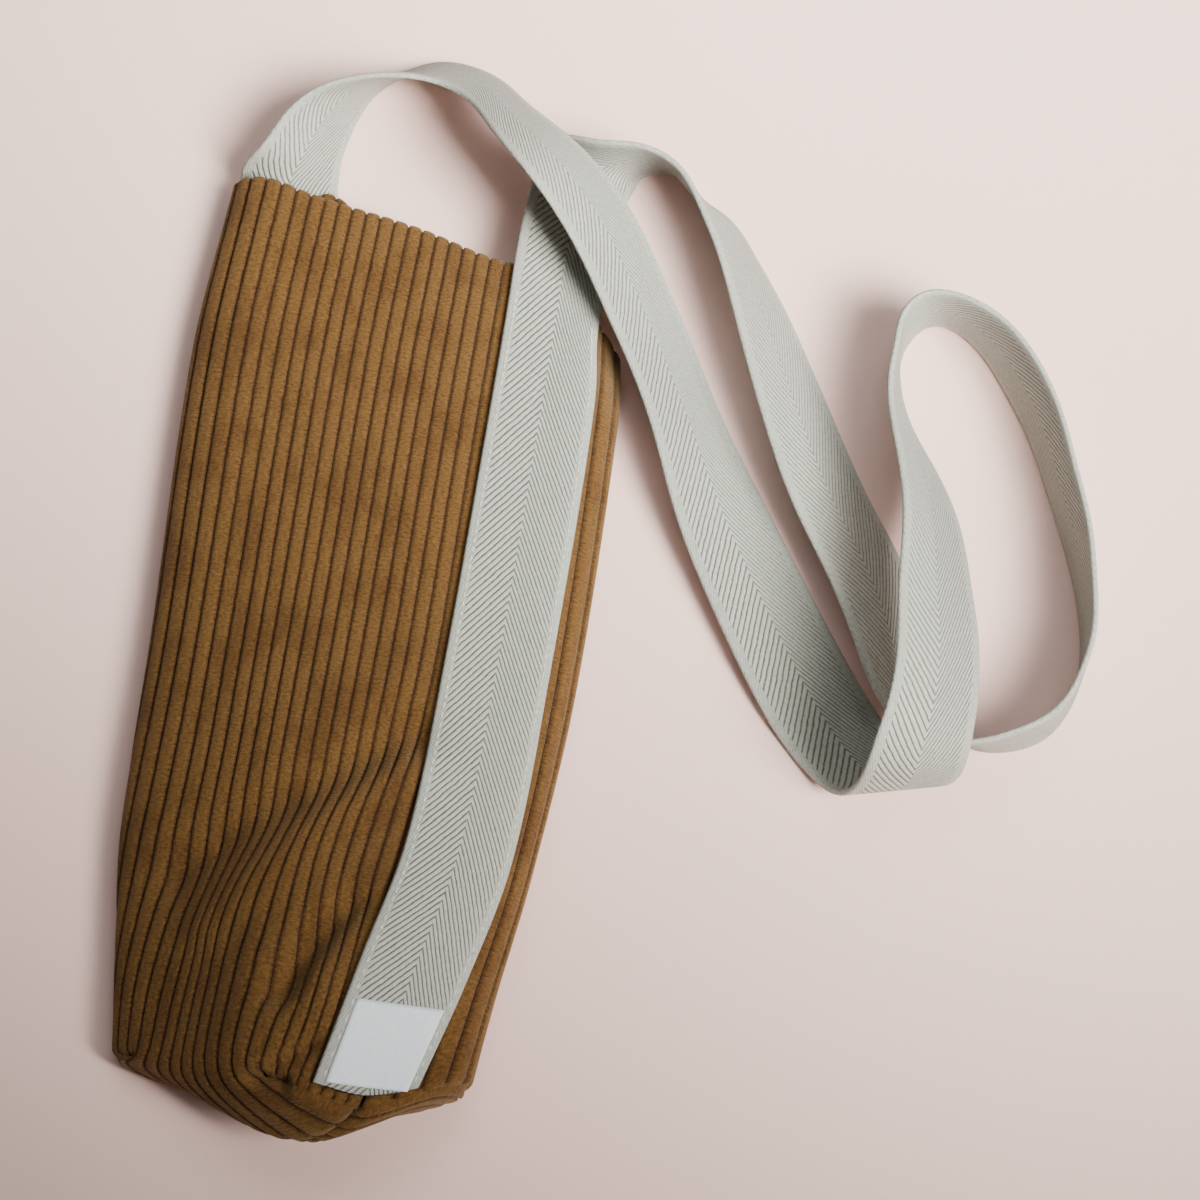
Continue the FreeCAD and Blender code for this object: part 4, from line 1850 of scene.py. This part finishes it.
@dataclass
class Studio:
    """Floor, soft light and camera.

    Attributes:
        paper: Both shades of the floor.
        half_side: Half of the floor's side in millimetres.
        grain: Scale of the floor's grain.
        gloss: How the floor takes the light.
        haze: Colour and strength of the light from all round.
        eye: Place of the camera in metres.
        rise: Height of the view in degrees.
        turn: Turn of the view to the right in degrees.
        lens: Focal length, for a sensor as wide as sensor.
        sensor: Width of the sensor.
    """

    paper: tuple[Colour, Colour] = (Colour(253, 216, 206), Colour(250, 212, 202))
    half_side: float = 3000.0
    grain: float = 220.0
    gloss: Gloss = Gloss(0.95, 0.1, 0.0)
    haze: tuple[tuple[float, float, float, float], float] = ((1.0, 0.97, 0.95, 1.0), 0.12)
    eye: tuple[float, float, float] = (0.13321, -0.44898, 1.22997)
    rise: float = 68.0
    turn: float = 8.0
    lens: float = 136.5
    sensor: float = 36.0

    def build(self) -> None:
        """Set up the studio."""
        self.floor()
        for light in LIGHTS:
            light.hang()
        world = bpy.data.worlds.new("studio")
        world.use_nodes = True
        for socket, value in zip(world.node_tree.nodes["Background"].inputs, self.haze):
            socket.default_value = value
        bpy.context.scene.world = world
        self.camera()

    def floor(self) -> None:
        """Lay the floor paper."""
        mesh = ClothMesh("floor")
        ends = np.linspace(-self.half_side, self.half_side, 3)
        places = np.stack([*np.meshgrid(ends, ends), np.zeros((3, 3))], axis=-1)
        mesh.add_grid(places, places[..., :2] * MM)
        ground = mesh.finish()
        material, shader, surface = principled("floor_paper")
        grain = shader.noise(shader.add("ShaderNodeTexCoord").outputs["Object"], self.grain, 3.0)
        shader.feed(surface.inputs["Base Color"], shader.mix(grain, *self.paper))
        self.gloss.apply(surface)
        ground.data.materials.append(material)

    def camera(self) -> None:
        """Stand the camera high over the bag's foot, a little to its right."""
        data = bpy.data.cameras.new("camera")
        data.lens = self.lens
        data.sensor_width = self.sensor
        eye = bpy.data.objects.new("camera", data)
        high, turn = math.radians(self.rise), math.radians(self.turn)
        back = Vector((
            math.sin(turn) * math.cos(high), -math.cos(turn) * math.cos(high), math.sin(high)
        ))
        right = Vector((0.0, 0.0, 1.0)).cross(back).normalized()
        axes = Matrix((right, back.cross(right), back)).transposed().to_4x4()
        axes.translation = self.eye
        eye.matrix_world = axes
        bpy.context.scene.collection.objects.link(eye)
        bpy.context.scene.camera = eye


# Long valley and ridge down from the strap, the hollow beside the label, the swells on both sides of
# that hollow, and the crease at the base edge.
FOLDS = (
    Fold(((18, -15), (-17, -42), (-40, -62)), reach=8.5, rise=-3.2),
    Fold(((18, -26), (-5, -50), (-28, -79)), reach=7.0, rise=2.0),
    Fold(((10, -69), (2, -82), (-5, -97)), reach=5.2, rise=-4.6),
    Fold(((7, -93), (9, -104)), reach=6.0, rise=1.6),
    Fold(((-16, -90), (-15, -108)), reach=9.0, rise=1.4),
    Fold(((-3.5, -120), (7.5, -112.5)), reach=1.9, rise=-2.6),
)
PULL = Pull(
    count=29,
    wales=(4, 8, 12, 16, 20, 25),
    rows=(
        (0.00, (0.3, 0.7, 2.2, 2.7, 3.2, 2.2)),
        (0.06, (0.2, 0.5, 2.2, 2.3, 3.1, 2.2)),
        (0.14, (0.7, 0.9, 1.7, 1.2, 2.0, 2.0)),
        (0.22, (0.9, 1.0, 0.5, 0.4, 1.0, 1.7)),
        (0.30, (0.6, 0.3, 0.0, 0.0, 0.5, 1.4)),
        (0.40, (0.1, 0.0, 0.0, 0.0, 0.3, 1.1)),
        (0.55, (0.0, 0.0, 0.0, 0.0, 0.2, 1.0)),
        (1.00, (0.0, 0.0, 0.0, 0.0, 0.2, 1.0)),
    ),
)


def main() -> None:
    """Load the frame, build the bag and the studio, and log the faces of each piece."""
    logging.basicConfig(level=logging.INFO, format="%(message)s")
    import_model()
    for piece in BottleBag(BagSkin(folds=FOLDS, pull=PULL)).build():
        log.info("%s: %d faces", piece.name, len(piece.data.polygons))
    Studio().build()


if __name__ == "__main__":
    main()
